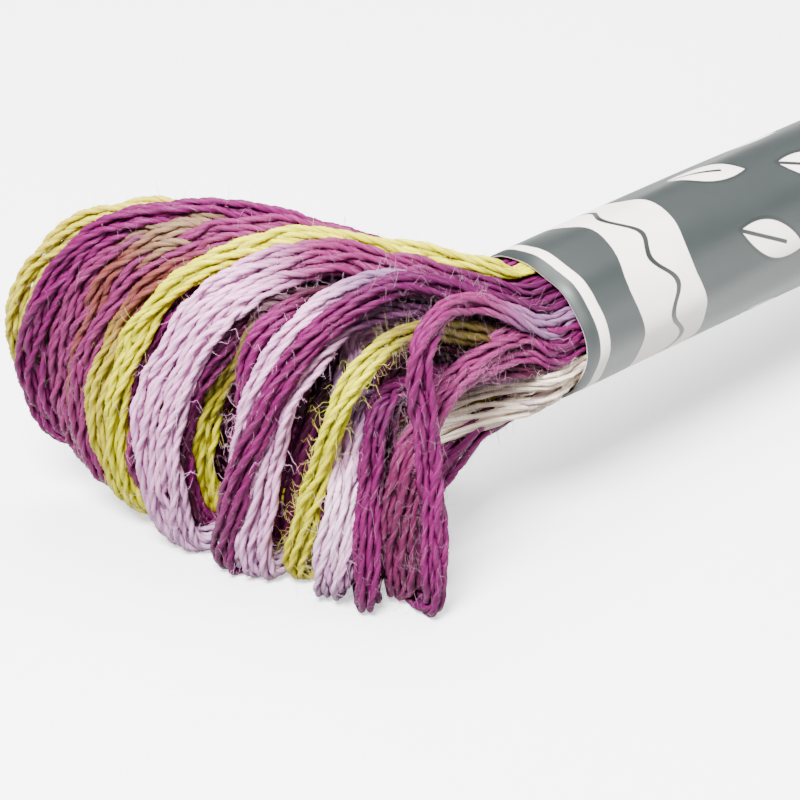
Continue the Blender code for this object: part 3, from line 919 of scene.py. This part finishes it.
@dataclass
class Fan:
    """The open fan: the turns that leave the mouth and come back to it.

    A turn's stations are two in the throat, one before the mouth, the crown,
    the shoulder, the belly, the tip, the tip's bend, the heel, and three
    back. Fields that end in marks are places in station numbers.
    """

    layout: StrandLayout
    throat: float = 0.93
    throat_depth: float = 4.0
    mouth_lead: float = 2.0
    tip_bend: float = 2.0
    fine_step: float = 0.27
    plain_step: float = 0.55
    hidden_step: float = 0.8
    straight_from: float = 11.7
    straightness: float = 0.8
    straight_power: float = 0.7
    lead_mark: float = 2.0
    crown_mark: float = 3.0
    anchor_mark: float = 4.5
    near_marks: tuple[float, ...] = (1.5, 3.0, 4.4, 6.0)
    tip_marks: tuple[float, ...] = (5.2, 6.2, 7.0, 7.8)
    part_marks: tuple[float, ...] = (3.0, 4.2, 7.0, 9.0)
    dye_marks: tuple[float, ...] = (2.0, 3.0, 4.0, 5.0, 6.5, 8.0, 9.5)
    rim_reach: Pair = (1.0, 7.0)
    rim_close: float = 0.3
    tip_close: float = 0.1
    near_close: float = 0.22
    rim_bare: float = 0.7
    rim_thin: float = 0.2
    fuzz_from: float = -1.2

    def bundles(self) -> Iterator[Bundle]:
        """Lay out every turn.

        Yields:
            The turns' bundles.
        """
        for group, turn in ((group, turn) for group, turns in TURNS.items() for turn in turns):
            look = turn.look
            hidden = turn.name.endswith(("_far", "_last", "_behind"))
            steps = [self.plain_step] * 2 + [self.plain_step if hidden else self.fine_step] * 6
            route, marks = smooth_route(self._stations(turn), steps + [self.hidden_step] * 3)
            if turn.way[2] > self.straight_from:
                self._straighten(route, marks)
            out = np.hypot(route[:, 0], route[:, 1])
            facing = np.array(FACING)
            near = hump(marks, self.near_marks)
            route = route + facing * (near * look.lift)[:, None]
            rim = 1.0 - eased(out, *self.rim_reach)
            tip = hump(marks, self.tip_marks)
            full = 1.0 - self.rim_close * rim - self.tip_close * tip - self.near_close * near * (1.0 - rim)
            girth = self.layout.girth
            bundle = self.layout.lay(Course(
                group=group,
                route=route,
                facing=facing,
                anchor=int(np.argmin(np.abs(marks - self.anchor_mark))),
                half=((look.across / 2 - girth) * full, (look.deep / 2 - girth) * full),
                parting=hump(marks, self.part_marks, look.parting),
                tip=tip,
                dye=loop_dyes(dye_row(look.dyes), marks, self.dye_marks),
                fuzz=look.fuzz * (1.0 - self.rim_bare * rim) * (route[:, 0] < self.fuzz_from),
            ))
            bundle.girth *= 1.0 - self.rim_thin * rim
            yield bundle

    def _stations(self, turn: Turn) -> list[Point]:
        """List the points that a turn passes.

        Args:
            turn: The turn's row.

        Returns:
            Points in mm about the mouth.
        """
        top, end = turn.way[:2]
        *outline, heel, leave, arrive = np.reshape(turn.way[2:], (7, 2))
        crown_turn, shoulder_turn, tip_turn, heel_turn = turn.look.turned
        places = [(top + (end - top) * index / 3, *pair) for index, pair in enumerate(outline)]
        points = [(x, *(leave * self.throat)) for x in (self.throat_depth, 0.0)]
        points.append((-self.mouth_lead, *leave))
        for (heading, out, up), aside in zip(places, (crown_turn, shoulder_turn, 0.0, 0.0)):
            points.append(self._place(heading + aside, out, up))
        out, up = outline[-1]
        points.append(self._place(end + tip_turn, out - self.tip_bend, up))
        points.append(self._place(end + heel_turn, *heel))
        points.append((-self.mouth_lead, *arrive))
        return points + [(x, *(arrive * self.throat)) for x in (0.0, self.throat_depth)]

    def _straighten(self, route: Array, marks: Array) -> None:
        """Draw the part between the rim and the crown nearly straight, in place.

        Args:
            route: The route's points.
            marks: Each point's place as a station number.
        """
        first, last = np.searchsorted(marks, (self.lead_mark, self.crown_mark))
        share = np.clip(marks - self.lead_mark, 0.0, 1.0)[:, None]
        chord = route[first] + (route[last] - route[first]) * share
        weight = self.straightness * np.sin(share * math.pi) ** self.straight_power
        route += (chord - route) * weight * ((marks > self.lead_mark) & (marks < self.crown_mark))[:, None]

    @staticmethod
    def _place(heading_deg: float, out: float, up: float) -> Point:
        """Place a point of the fan, in mm about the mouth."""
        heading = math.radians(heading_deg)
        return -out * math.cos(heading), out * math.sin(heading), up


@dataclass
class Sheaf:
    """The close end: bunches that leave the band, lie down and turn back."""

    layout: StrandLayout
    places: tuple[float, ...] = (50.0, 58.0, 66.0, 75.0, 84.0, 93.0)
    rest: float = 84.0
    end: float = 105.0
    height: float = 3.5
    tight: Pair = (4.7, 3.85)
    loose: Pair = (5.2, 3.75)
    bunch: float = 0.75
    bunch_half: Pair = (0.55, 0.3)
    pairs: int = 9
    bend_depth: float = 3.6
    bend_near: float = 0.25
    bend_up: float = 0.7
    rounding: float = 3.0
    stagger: float = 0.9
    step: float = 0.65
    tip_stations: Pair = (0.5, 2.0)
    fuzz: float = 0.25
    fuzz_from: float = 1.2
    dyes: tuple[str, ...] = (
        "PLUM MAGENTA ROSE LILAC*2",
        "LILAC LAVENDER MAUVE PLUM WINE",
        "LIME*2 STRAW TAN ROSE",
        "WINE PLUM MAGENTA*2 MAUVE",
        "ROSE TAN LIME*2 OLIVE",
    )

    def _past(self, along: float) -> float:
        """Share of the way from the band to where the sheaf lies down, 0 to 1."""
        return min(1.0, max(0.0, (along - BAND_LENGTH) / (self.rest - BAND_LENGTH)))

    def middle(self, along: float) -> float:
        """Find the middle line's height.

        Args:
            along: Place along the skein, in mm.

        Returns:
            The height in mm about the mouth.
        """
        top = -FALL * min(along, BAND_LENGTH)
        share = self._past(along)
        return top + (self.height - MOUTH[2] - top) * share * share * (3.0 - 2.0 * share)

    def half(self, along: float, inset: float) -> Pair:
        """Half width and half height of the sheaf's section, less an inset, in mm."""
        pairs = zip(self.tight, self.loose)
        return tuple(tight + (loose - tight) * self._past(along) - inset for tight, loose in pairs)

    def bundles(self) -> Iterator[Bundle]:
        """Lay out every bunch.

        Yields:
            The bunches' bundles.
        """
        for index in range(self.pairs):
            angle = (index + 0.5) * math.pi / self.pairs
            rounding = self.rounding * math.cos(angle) ** 2
            stations = self._stations(angle, self.end - self.bunch - rounding - self.stagger * (index % 2))
            last = len(stations) - 1
            route, marks = smooth_route(stations, [self.step] * last)
            middle = np.array([self.middle(x) for x in route[:, 0]])
            radial = np.stack([np.zeros(len(route)), route[:, 1], route[:, 2] - middle], axis=1)
            tangent = unit(np.gradient(route, axis=0))
            facing = unit(radial - tangent * np.sum(radial * tangent, axis=1, keepdims=True) + TINY)
            dyes = dye_row(self.dyes[index % len(self.dyes)])
            yield self.layout.lay(Course(
                group="sheaf",
                route=route,
                facing=facing[0],
                anchor=0,
                half=tuple(np.full(len(route), half) for half in self.bunch_half),
                parting=np.zeros(len(route)),
                tip=1.0 - eased(np.abs(marks - last / 2), *self.tip_stations),
                dye=loop_dyes(dyes, marks, np.linspace(0, last, len(dyes))),
                fuzz=self.fuzz * (route[:, 0] > BAND_LENGTH + self.fuzz_from),
            ))

    def _stations(self, angle: float, end: float) -> list[Point]:
        """List the points of one bunch, out along the top, round the end and back.

        Args:
            angle: Its place round the section.
            end: How far it reaches.

        Returns:
            Points in mm about the mouth.
        """
        out = []
        for along in (*self.places, end - self.bend_depth):
            wide, high = self.half(along, self.bunch)
            out.append((along, wide * math.cos(angle), high * math.sin(angle)))
        side, up = out[-1][1:]
        middle = self.middle(end)
        near, rise = end - self.bend_depth * self.bend_near, up * self.bend_up
        points = [(x, y, self.middle(x) + z) for x, y, z in out]
        points += [(near, side, middle + rise), (end, side, middle), (near, side, middle - rise)]
        return points + [(x, y, self.middle(x) - z) for x, y, z in reversed(out)]


@dataclass
class Easing:
    """Eases strands apart until they only touch, inside the band's mouth and above the surface."""

    rounds: int = 26
    refresh: int = 4
    contact: float = 0.9
    push: float = 0.25
    cell: float = 0.55
    follow: float = 0.5
    hold: float = 0.02
    clearance: float = 0.02
    mouth_half: Pair = (4.9, 4.05)
    mouth_from: float = -1.0
    rim_pinch: float = 0.08
    rim_fade: float = 1.6

    def settle(self, bundles: list[Bundle], in_mouth: bool) -> None:
        """Move the strands' points in place.

        Args:
            bundles: The bundles.
            in_mouth: Whether to keep the points that are inside the band within its mouth.
        """
        start = gathered(bundles, "points", 3)
        girth = gathered(bundles, "girth", 1)[:, 0]
        owner = owners(bundles)
        first = np.r_[True, owner[1:] != owner[:-1]]
        last = np.r_[owner[1:] != owner[:-1], True]
        shift = np.zeros_like(start)
        for turn in range(self.rounds):
            here = start + shift
            if turn % self.refresh == 0:
                one, two = self._near(here, owner)
            apart = here[one] - here[two]
            distance = np.linalg.norm(apart, axis=1)
            wanted = (girth[one] + girth[two]) * self.contact
            push = np.maximum(wanted - distance, 0.0) * self.push / np.maximum(distance, 1e-4)
            move = apart * push[:, None]
            for axis in range(3):
                shift[:, axis] += np.bincount(one, move[:, axis], len(start))
                shift[:, axis] -= np.bincount(two, move[:, axis], len(start))
            before, after = np.roll(shift, 1, axis=0), np.roll(shift, -1, axis=0)
            before[first] = shift[first]
            after[last] = shift[last]
            shift += ((before + after) / 2 - shift) * self.follow
            shift *= 1.0 - self.hold
            self._bound(start, shift, girth, in_mouth)
        parts = np.split(start + shift, np.cumsum([b.girth.size for b in bundles])[:-1])
        for bundle, part in zip(bundles, parts):
            bundle.points = part.reshape(bundle.points.shape)

    def _bound(self, start: Array, shift: Array, girth: Array, in_mouth: bool) -> None:
        """Keep points in the mouth's oval and above the surface.

        Args:
            start: Where the points started.
            shift: How far they have moved, which is changed.
            girth: The strands' radius at each point.
            in_mouth: Whether to mind the mouth.
        """
        here = start + shift
        here[:, 2] = np.maximum(here[:, 2], girth + self.clearance - MOUTH[2])
        if in_mouth:
            pinch = girth + self.rim_pinch * np.exp(-np.abs(here[:, 0]) / self.rim_fade)
            wide, high = (half - pinch for half in self.mouth_half)
            axis = -FALL * here[:, 0]
            reach = np.sqrt((here[:, 1] / wide) ** 2 + ((here[:, 2] - axis) / high) ** 2)
            out = (here[:, 0] > self.mouth_from) & (reach > 1.0)
            here[out, 1] /= reach[out]
            here[out, 2] = axis[out] + (here[out, 2] - axis[out]) / reach[out]
        shift[:] = here - start

    def _near(self, here: Array, owner: Array) -> Array:
        """Find the pairs of points of different strands that may touch.

        Args:
            here: The points.
            owner: Each point's strand.

        Returns:
            Two rows of point numbers.
        """
        cells = np.floor((here - here.min(axis=0)) / self.cell).astype(np.int64) + 1
        span = cells.max(axis=0) + 2
        key = (cells[:, 0] * span[1] + cells[:, 1]) * span[2] + cells[:, 2]
        order = np.argsort(key, kind="stable")
        ordered = key[order]
        pairs = []
        for dx, dy, dz in product((-1, 0, 1), repeat=3):
            wanted = key + (dx * span[1] + dy) * span[2] + dz
            low = np.searchsorted(ordered, wanted, "left")
            count = np.searchsorted(ordered, wanted, "right") - low
            one = np.repeat(np.arange(len(here)), count)
            offset = np.arange(len(one)) - np.repeat(np.cumsum(count) - count, count)
            two = order[np.repeat(low, count) + offset]
            keep = (one < two) & (owner[one] != owner[two])
            one, two = one[keep], two[keep]
            close = np.sum((here[one] - here[two]) ** 2, axis=1) < self.cell ** 2
            pairs.append(np.stack([one[close], two[close]]))
        return np.concatenate(pairs, axis=1)


# ------------------------------------------------------------------- pieces


@dataclass
class ThreadWorks:
    """Sweeps strands into twisted two-ply thread, and sets stray fibres on it."""

    ply_pitch: float = 2.4
    ply_step: float = 0.27
    ply_radius: float = 0.19
    ply_offset: float = 0.075
    ply_seed: int = 5
    full_girth: float = 0.25
    twist_least: float = 0.85
    twist_spread: float = 0.3
    fibres: float = 1.35
    fibre_length: float = 1.0
    fibre_radius: float = 0.01
    fibre_facing: float = 0.8
    fibre_points: int = 6
    fibre_lean: float = 1.3
    fibre_spin: float = 6.3
    fibre_sizes: Pair = (0.35, 1.3)
    fibre_curl: float = 2.6
    curl_scale: float = 2000.0
    fibre_taper: float = 0.6
    clearance: float = 0.03
    thread_tree: GeometryTree = field(init=False)
    fibre_tree: GeometryTree = field(init=False)

    def __post_init__(self) -> None:
        """Make the trees."""
        self.thread_tree = self._thread_tree()
        self.fibre_tree = self._fibre_tree()

    def spin(self, name: str, bundles: list[Bundle], sides: int) -> bpy.types.Object:
        """Make one piece of thread from bundles, with a number of points round a thread."""
        return self.thread_tree.apply(self._guide(name, bundles), name, Sides=sides)

    def fray(self, name: str, thread: bpy.types.Object, seed: int) -> bpy.types.Object:
        """Set stray fibres on a piece of thread in a random order."""
        return self.fibre_tree.apply(new_object(name + "_guide", thread.data.copy()), name, Seed=seed)

    def _twist(self, bundle: Bundle) -> Array:
        """Count the plies' turns along each strand, fewer where its points stand far apart.

        Args:
            bundle: The bundle.

        Returns:
            The number of turns at each point.
        """
        gaps = np.linalg.norm(np.diff(bundle.points, axis=1), axis=2)
        turns = gaps / (self.ply_pitch * np.maximum(1.0, gaps / self.ply_step))
        return np.pad(np.cumsum(turns, axis=1), ((0, 0), (1, 0))).reshape(-1, 1)

    def _guide(self, name: str, bundles: list[Bundle]) -> bpy.types.Object:
        """Make a mesh of lines, one for each strand.

        Args:
            name: The piece's name.
            bundles: The bundles.

        Returns:
            The guide object.
        """
        owner = owners(bundles)
        joined = np.flatnonzero(owner[1:] == owner[:-1])
        mesh = bpy.data.meshes.new(name + "_guide")
        places = (gathered(bundles, "points", 3) + np.array(MOUTH)) * MM
        mesh.from_pydata(places.tolist(), np.stack([joined, joined + 1], axis=1).tolist(), [])
        phases = np.random.default_rng(self.ply_seed).uniform(0.0, 1.0, (owner[-1] + 1, 1))
        carry(
            mesh,
            dye=gathered(bundles, "dyes", 4),
            girth=gathered(bundles, "girth", 1) / self.full_girth,
            fuzz=gathered(bundles, "fuzz", 1),
            phase=phases[owner],
            twist=np.concatenate([self._twist(b) for b in bundles]),
            outward=gathered(bundles, "outward", 3),
        )
        return new_object(name + "_guide", mesh)

    def _thread_tree(self) -> GeometryTree:
        """Build the tree that sweeps two twisted plies along each line.

        Returns:
            The tree.
        """
        values = {"Sides": 8, "Ply radius": self.ply_radius * MM, "Ply offset": self.ply_offset * MM}
        tree = GeometryTree("two_ply_thread", {**values, "Material": ThreadFinish().build()})
        lines, sides, radius, offset = list(tree.inputs.values())[:4]
        curve = tree.geo("MeshToCurve", {0: lines})
        length = tree.add("GeometryNodeSplineParameter")[1]
        curve = tree.store(curve, "along", "FLOAT", length * (1.0 / MM))
        phase = tree.attribute("phase")
        turn = tree.attribute("twist") * (phase * self.twist_spread + self.twist_least) + phase
        curve = tree.geo("SetCurveTilt", {"Curve": curve, "Tilt": turn * math.tau})
        ring = tree.geo("CurvePrimitiveCircle", {"Resolution": sides, "Radius": 1.0}, mode="RADIUS")
        way = tree.geo("InputPosition")
        x, y, _ = way.parts()
        ring = tree.store(ring, "around", "FLOAT_VECTOR", way)
        reach = offset * abs(x) + (radius * radius - offset * offset * y * y) ** 0.5
        ring = tree.geo("SetPosition", {"Geometry": ring, "Position": way * reach})
        return tree.sweep(curve, ring, tree.attribute("girth"))

    def _fibre_tree(self) -> GeometryTree:
        """Build the tree that sets curled single fibres on thread.

        Returns:
            The tree.
        """
        tree = GeometryTree("stray_fibres", {
            "Fibres per area": self.fibres / MM / MM,
            "Fibre length": self.fibre_length * MM,
            "Fibre radius": self.fibre_radius * MM,
            "Seed": 1,
            "Material": FibreFinish().build(),
        })
        thread, per_area, long, thick, seed = list(tree.inputs.values())[:5]
        facing = tree.geo("InputNormal").dot(tree.attribute("outward", "FLOAT_VECTOR"))
        density = per_area * tree.attribute("fuzz") * tree.smooth(facing, 0.0, self.fibre_facing)
        sockets = {"Mesh": thread, "Density": density, "Seed": seed}
        spots = tree.add("GeometryNodeDistributePointsOnFaces", sockets)
        line = tree.geo("CurvePrimitiveLine", {"End": tree.vector(0.0, 0.0, long)})
        line = tree.geo("ResampleCurve", {"Curve": line, "Count": self.fibre_points}, mode="COUNT")
        most = self.fibre_lean
        lean = tree.random("FLOAT_VECTOR", (-most, -most, 0.0), (most, most, self.fibre_spin))
        aim = tree.add("FunctionNodeRotateRotation", {0: spots[2], 1: lean}, rotation_space="LOCAL")[0]
        size = tree.random("FLOAT", *self.fibre_sizes)
        sockets = {"Points": spots[0], "Instance": line, "Rotation": aim, "Scale": tree.vector(size, size, size)}
        hairs = tree.geo("RealizeInstances", {"Geometry": tree.geo("InstanceOnPoints", sockets)})
        share, place = tree.geo("SplineParameter"), tree.geo("InputPosition")
        curl = tree.add("ShaderNodeTexNoise", {"Vector": place, "Scale": self.curl_scale, "Detail": 1.0})[1]
        x, y, z = (place + (curl - 0.5) * (share * long * self.fibre_curl)).parts()
        above = tree.vector(x, y, z.most(self.clearance * MM))
        hairs = tree.geo("SetPosition", {"Geometry": hairs, "Position": above})
        ring = tree.geo("CurvePrimitiveCircle", {"Resolution": 3, "Radius": 1.0}, mode="RADIUS")
        return tree.sweep(hairs, ring, thick * (1.0 - share * self.fibre_taper))


def carry(mesh: bpy.types.Mesh, **rows: Array) -> None:
    """Give a mesh's points rows of one, three or four numbers as named attributes.

    Args:
        mesh: The mesh.
        rows: The rows by the attribute's name.
    """
    kinds = {1: ("FLOAT", "value"), 3: ("FLOAT_VECTOR", "vector"), 4: ("FLOAT_COLOR", "color")}
    for label, data in rows.items():
        kind, slot = kinds[data.shape[-1]]
        mesh.attributes.new(label, kind, "POINT").data.foreach_set(slot, data.astype(np.float32).ravel())


def new_piece(name: str, points: Array, faces: Faces, material: bpy.types.Material) -> bpy.types.Object:
    """Make a piece from points in mm about the mouth.

    Args:
        name: Its name.
        points: Its points.
        faces: Its faces.
        material: Its finish.

    Returns:
        The piece, shaded smooth.
    """
    mesh = bpy.data.meshes.new(name)
    mesh.from_pydata(((points + np.array(MOUTH)) * MM).tolist(), [], faces)
    mesh.materials.append(material)
    mesh.shade_smooth()
    mesh.update()
    return new_object(name, mesh)


def quads(grid: Array) -> Array:
    """Make a grid of faces from a grid of point numbers."""
    return np.stack([grid[:-1, :-1], grid[1:, :-1], grid[1:, 1:], grid[:-1, 1:]], axis=-1)


@dataclass
class PaperBand:
    """A strip of label paper wrapped round the bundle, its end glued over its start."""

    half_width: float = 5.1
    half_height: float = 4.25
    wall: float = 0.13
    lap_start: float = 250.0
    lap_span: float = 60.0
    lap_step: float = 0.2
    lap_rise: float = 0.25
    lap_press: float = 0.04
    ripples: int = 8
    ripple_first: int = 5
    ripple: float = 0.05
    ripple_sum: float = 3.0
    ripple_drift: float = 0.07
    mouth_close: float = 0.08
    mouth_fade: float = 1.6
    wavy_edge: float = 0.06
    wavy_fade: float = 0.8
    slant: float = 0.9
    slant_fade: float = 6.0
    around: int = 120
    rows: int = 44
    seed: int = 3

    def build(self) -> bpy.types.Object:
        """Make the band.

        Returns:
            The piece.
        """
        turn = math.tau + math.radians(self.lap_span)
        sweep = np.linspace(0.0, turn, self.around) + math.radians(self.lap_start)
        along = np.linspace(0.0, BAND_LENGTH, self.rows)
        waves = np.random.default_rng(self.seed).uniform(0, math.tau, self.ripples)
        rings = [self._ring(x, inset, sweep, waves) for inset in (self.wall, 0.0) for x in along]
        piece = new_piece("paper_wrap", np.concatenate(rings), self._faces(), PaperFinish().build())
        data = np.zeros((2, self.rows, self.around, 3))
        data[..., 0] = along[:, None]
        data[..., 1] = (sweep - sweep[0]) * ((self.half_width + self.half_height) / 2)
        data[1, ..., 2] = 1.0
        carry(piece.data, sheet=data)
        return piece

    def _ring(self, x: float, inset: float, sweep: Array, waves: Array) -> Array:
        """Draw the paper's section at one place.

        Args:
            x: Place along the band in mm.
            inset: How far the face lies inside the outer one.
            sweep: Angle of each point.
            waves: Starts of the ripples.

        Returns:
            The section's points in mm about the mouth.
        """
        rim = min(x, BAND_LENGTH - x)
        loose = -self.mouth_close * math.exp(-x / self.mouth_fade)
        span = math.radians(self.lap_span)
        under = np.clip((sweep - sweep[0]) / span, 0, 1)
        over = np.clip((sweep - sweep[-1]) / span + 1.0, 0, 1)
        step = self.lap_step * eased(over, 0.0, self.lap_rise)
        middle = (self.ripples - 2) / 2
        press = sum(
            np.sin(sweep * (k + self.ripple_first) + wave + x * self.ripple_drift * (k - middle))
            for k, wave in enumerate(waves)
        )
        extra = step + self.ripple * press / self.ripple_sum + loose - inset
        extra = extra - self.lap_press * (1 - under)
        y = (self.half_width + extra) * np.cos(sweep)
        z = (self.half_height + extra) * np.sin(sweep)
        wavy = self.wavy_edge * np.sin(sweep * 2 + waves[0]) * math.exp(-rim / self.wavy_fade)
        slope = self.slant * (0.5 - np.sin(sweep) / 2) ** 2 * math.exp(-rim / self.slant_fade)
        edge = x + (wavy - slope if x < BAND_LENGTH / 2 else slope - wavy)
        return np.stack([edge, y, z - FALL * x], axis=1)

    def _faces(self) -> Faces:
        """List the faces of the closed wall.

        Returns:
            The faces.
        """
        inner, outer = np.arange(2 * self.rows * self.around).reshape(2, self.rows, self.around)
        pairs = [
            (quads(inner), quads(outer)[..., ::-1]),
            (self._rim(inner[0, :-1], inner[0, 1:]), self._rim(inner[-1, 1:], inner[-1, :-1])),
            (self._rim(inner[1:, 0], inner[:-1, 0]), self._rim(inner[:-1, -1], inner[1:, -1])),
        ]
        return [tuple(face) for pair in pairs for face in np.stack(pair, axis=-2).reshape(-1, 4).tolist()]

    def _rim(self, first: Array, second: Array) -> Array:
        """Join edges of the inner face to the same edges of the outer face."""
        layer = self.rows * self.around
        return np.stack([first, second, second + layer, first + layer], axis=-1)


@dataclass
class Heart:
    """The unseen middle of the bundle, so that no light shows through it."""

    sheaf: Sheaf
    start: float = 3.5
    end: float = 100.0
    inset: float = 1.15
    cap: float = 0.04
    cap_least: float = 0.02
    sides: int = 24
    rows: int = 40

    def build(self) -> bpy.types.Object:
        """Make the filling.

        Returns:
            The piece.
        """
        points = []
        for row in range(self.rows + 1):
            share = row / self.rows
            along = self.start + (self.end - self.start) * share
            wide, high = self.sheaf.half(along, self.inset)
            capped = max(0.0, (share - (1.0 - self.cap)) / self.cap)
            close = math.sqrt(max(0.0, 1.0 - capped ** 2)) * (1.0 - self.cap_least) + self.cap_least
            for side in range(self.sides):
                angle = math.tau * side / self.sides
                up = self.sheaf.middle(along) + high * close * math.sin(angle)
                points.append((along, wide * close * math.cos(angle), up))
        faces = [tuple(reversed(range(self.sides)))]
        faces.append(tuple(range(self.rows * self.sides, (self.rows + 1) * self.sides)))
        rings = np.arange(len(points)).reshape(-1, self.sides)
        around = quads(np.hstack([rings, rings[:, :1]]).T).swapaxes(0, 1)
        faces += [tuple(face) for face in around.reshape(-1, 4).tolist()]
        finish = PlainFinish("inner_threads", linear(92, 24, 66))
        return new_piece("inner_threads", np.array(points), faces, finish.build())


@dataclass
class Studio:
    """Floor, soft lights and the camera, in mm and degrees; a light has a place, a size and a power."""

    azimuth: float = -44.0
    elevation: float = 32.5
    distance: float = 210.0
    focal_pixels: float = 3700.0
    image: float = 800.0
    sensor: float = 36.0
    clip: Pair = (5.0, 20000.0)
    shift_right: float = 7.15
    shift_up: float = 4.17
    floor_half: float = 1500.0
    floor_colour: Colour = (0.9, 0.9, 0.9, 1.0)
    floor_glow: float = 1.1
    sky: float = 0.42
    lights: tuple[tuple[str, Point, float, float], ...] = (
        ("key", (-195.0, -65.0, 265.0), 130.0, 4.9),
        ("fill", (120.0, -240.0, 120.0), 160.0, 0.8),
        ("top", (20.0, 60.0, 300.0), 200.0, 1.8),
    )

    def build(self) -> None:
        """Make the studio."""
        self._floor()
        self._lights()
        self._camera()

    def _camera(self) -> None:
        """Aim the camera so that the mouth stands where it should in the frame."""
        az, el = math.radians(self.azimuth), math.radians(self.elevation)
        right = Vector((math.cos(az), math.sin(az), 0.0))
        back = Vector((math.sin(az) * math.cos(el), -math.cos(az) * math.cos(el), math.sin(el)))
        up = back.cross(right)
        data = bpy.data.cameras.new("camera")
        data.sensor_width = self.sensor
        data.lens = self.sensor * self.focal_pixels / self.image
        data.clip_start, data.clip_end = (limit * MM for limit in self.clip)
        camera = new_object("camera", data)
        target = Vector(MOUTH) - right * self.shift_right - up * self.shift_up
        turn = Matrix((right, up, back)).transposed().to_4x4()
        camera.matrix_world = Matrix.Translation((target + back * self.distance) * MM) @ turn
        bpy.context.scene.camera = camera

    def _floor(self) -> None:
        """Lay the pale floor."""
        half = self.floor_half * MM
        mesh = bpy.data.meshes.new("floor")
        corners = [(-half, -half, 0.0), (half, -half, 0.0), (half, half, 0.0), (-half, half, 0.0)]
        mesh.from_pydata(corners, [], [(0, 1, 2, 3)])
        mesh.materials.append(PlainFinish("pale_floor", self.floor_colour, glow=self.floor_glow).build())
        floor = new_object("floor", mesh)
        floor.visible_diffuse = False

    def _lights(self) -> None:
        """Hang the soft lights and set the world's pale light."""
        world = bpy.data.worlds.new("studio")
        world.use_nodes = True
        background = world.node_tree.nodes["Background"]
        Graph(world.node_tree).join(background, {"Color": (1.0, 1.0, 1.0, 1.0), "Strength": self.sky})
        bpy.context.scene.world = world
        for name, place, size, power in self.lights:
            data = bpy.data.lights.new(name, "AREA")
            data.shape = "DISK"
            data.size = size * MM
            data.energy = power
            light = new_object(name, data)
            light.location = Vector(place) * MM
            aim = Vector(MOUTH) * MM - light.location
            light.rotation_euler = aim.to_track_quat("-Z", "Y").to_euler()


@dataclass
class Skein:
    """The whole skein: threads, fibres, filling and paper."""

    groups: tuple[str, ...] = ("far", "back", "middle", "front", "sheaf")
    plain_groups: tuple[str, ...] = ("far", "sheaf")
    sides: int = 8
    plain_sides: int = 6
    sheaf_seed: int = 23
    sheaf_rounds: int = 14

    def build(self) -> None:
        """Make every piece and hang it on the frame."""
        fan = list(Fan(StrandLayout()).bundles())
        Easing().settle(fan, in_mouth=True)
        sheaf = Sheaf(StrandLayout(seed=self.sheaf_seed))
        close = list(sheaf.bundles())
        Easing(rounds=self.sheaf_rounds).settle(close, in_mouth=False)
        works = ThreadWorks()
        for seed, group in enumerate(self.groups, 1):
            bundles = [b for b in fan + close if b.group == group]
            sides = self.plain_sides if group in self.plain_groups else self.sides
            thread = works.spin("floss_" + group, bundles, sides)
            fibres = works.fray("fibres_" + group, thread, seed)
            self._hang(thread, *FLOSS)
            self._hang(fibres, *FLOSS)
        self._hang(Heart(sheaf).build(), *FLOSS)
        self._hang(PaperBand().build(), *BAND)

    @staticmethod
    def _hang(piece: bpy.types.Object, node: str, slot: str) -> None:
        """Hang a piece on the frame.

        Args:
            piece: The piece.
            node: The CAD node that it stands for.
            slot: The material slot of its finish; not used.
        """
        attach(piece, BODY)
        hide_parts(node)
        piece.data.calc_loop_triangles()
        LOG.info("%s: %d triangles", piece.name, len(piece.data.loop_triangles))


def main() -> None:
    """Build the skein and its studio."""
    logging.basicConfig(level=logging.INFO, format="%(message)s")
    Studio().build()
    Skein().build()


if __name__ == "__main__":
    main()
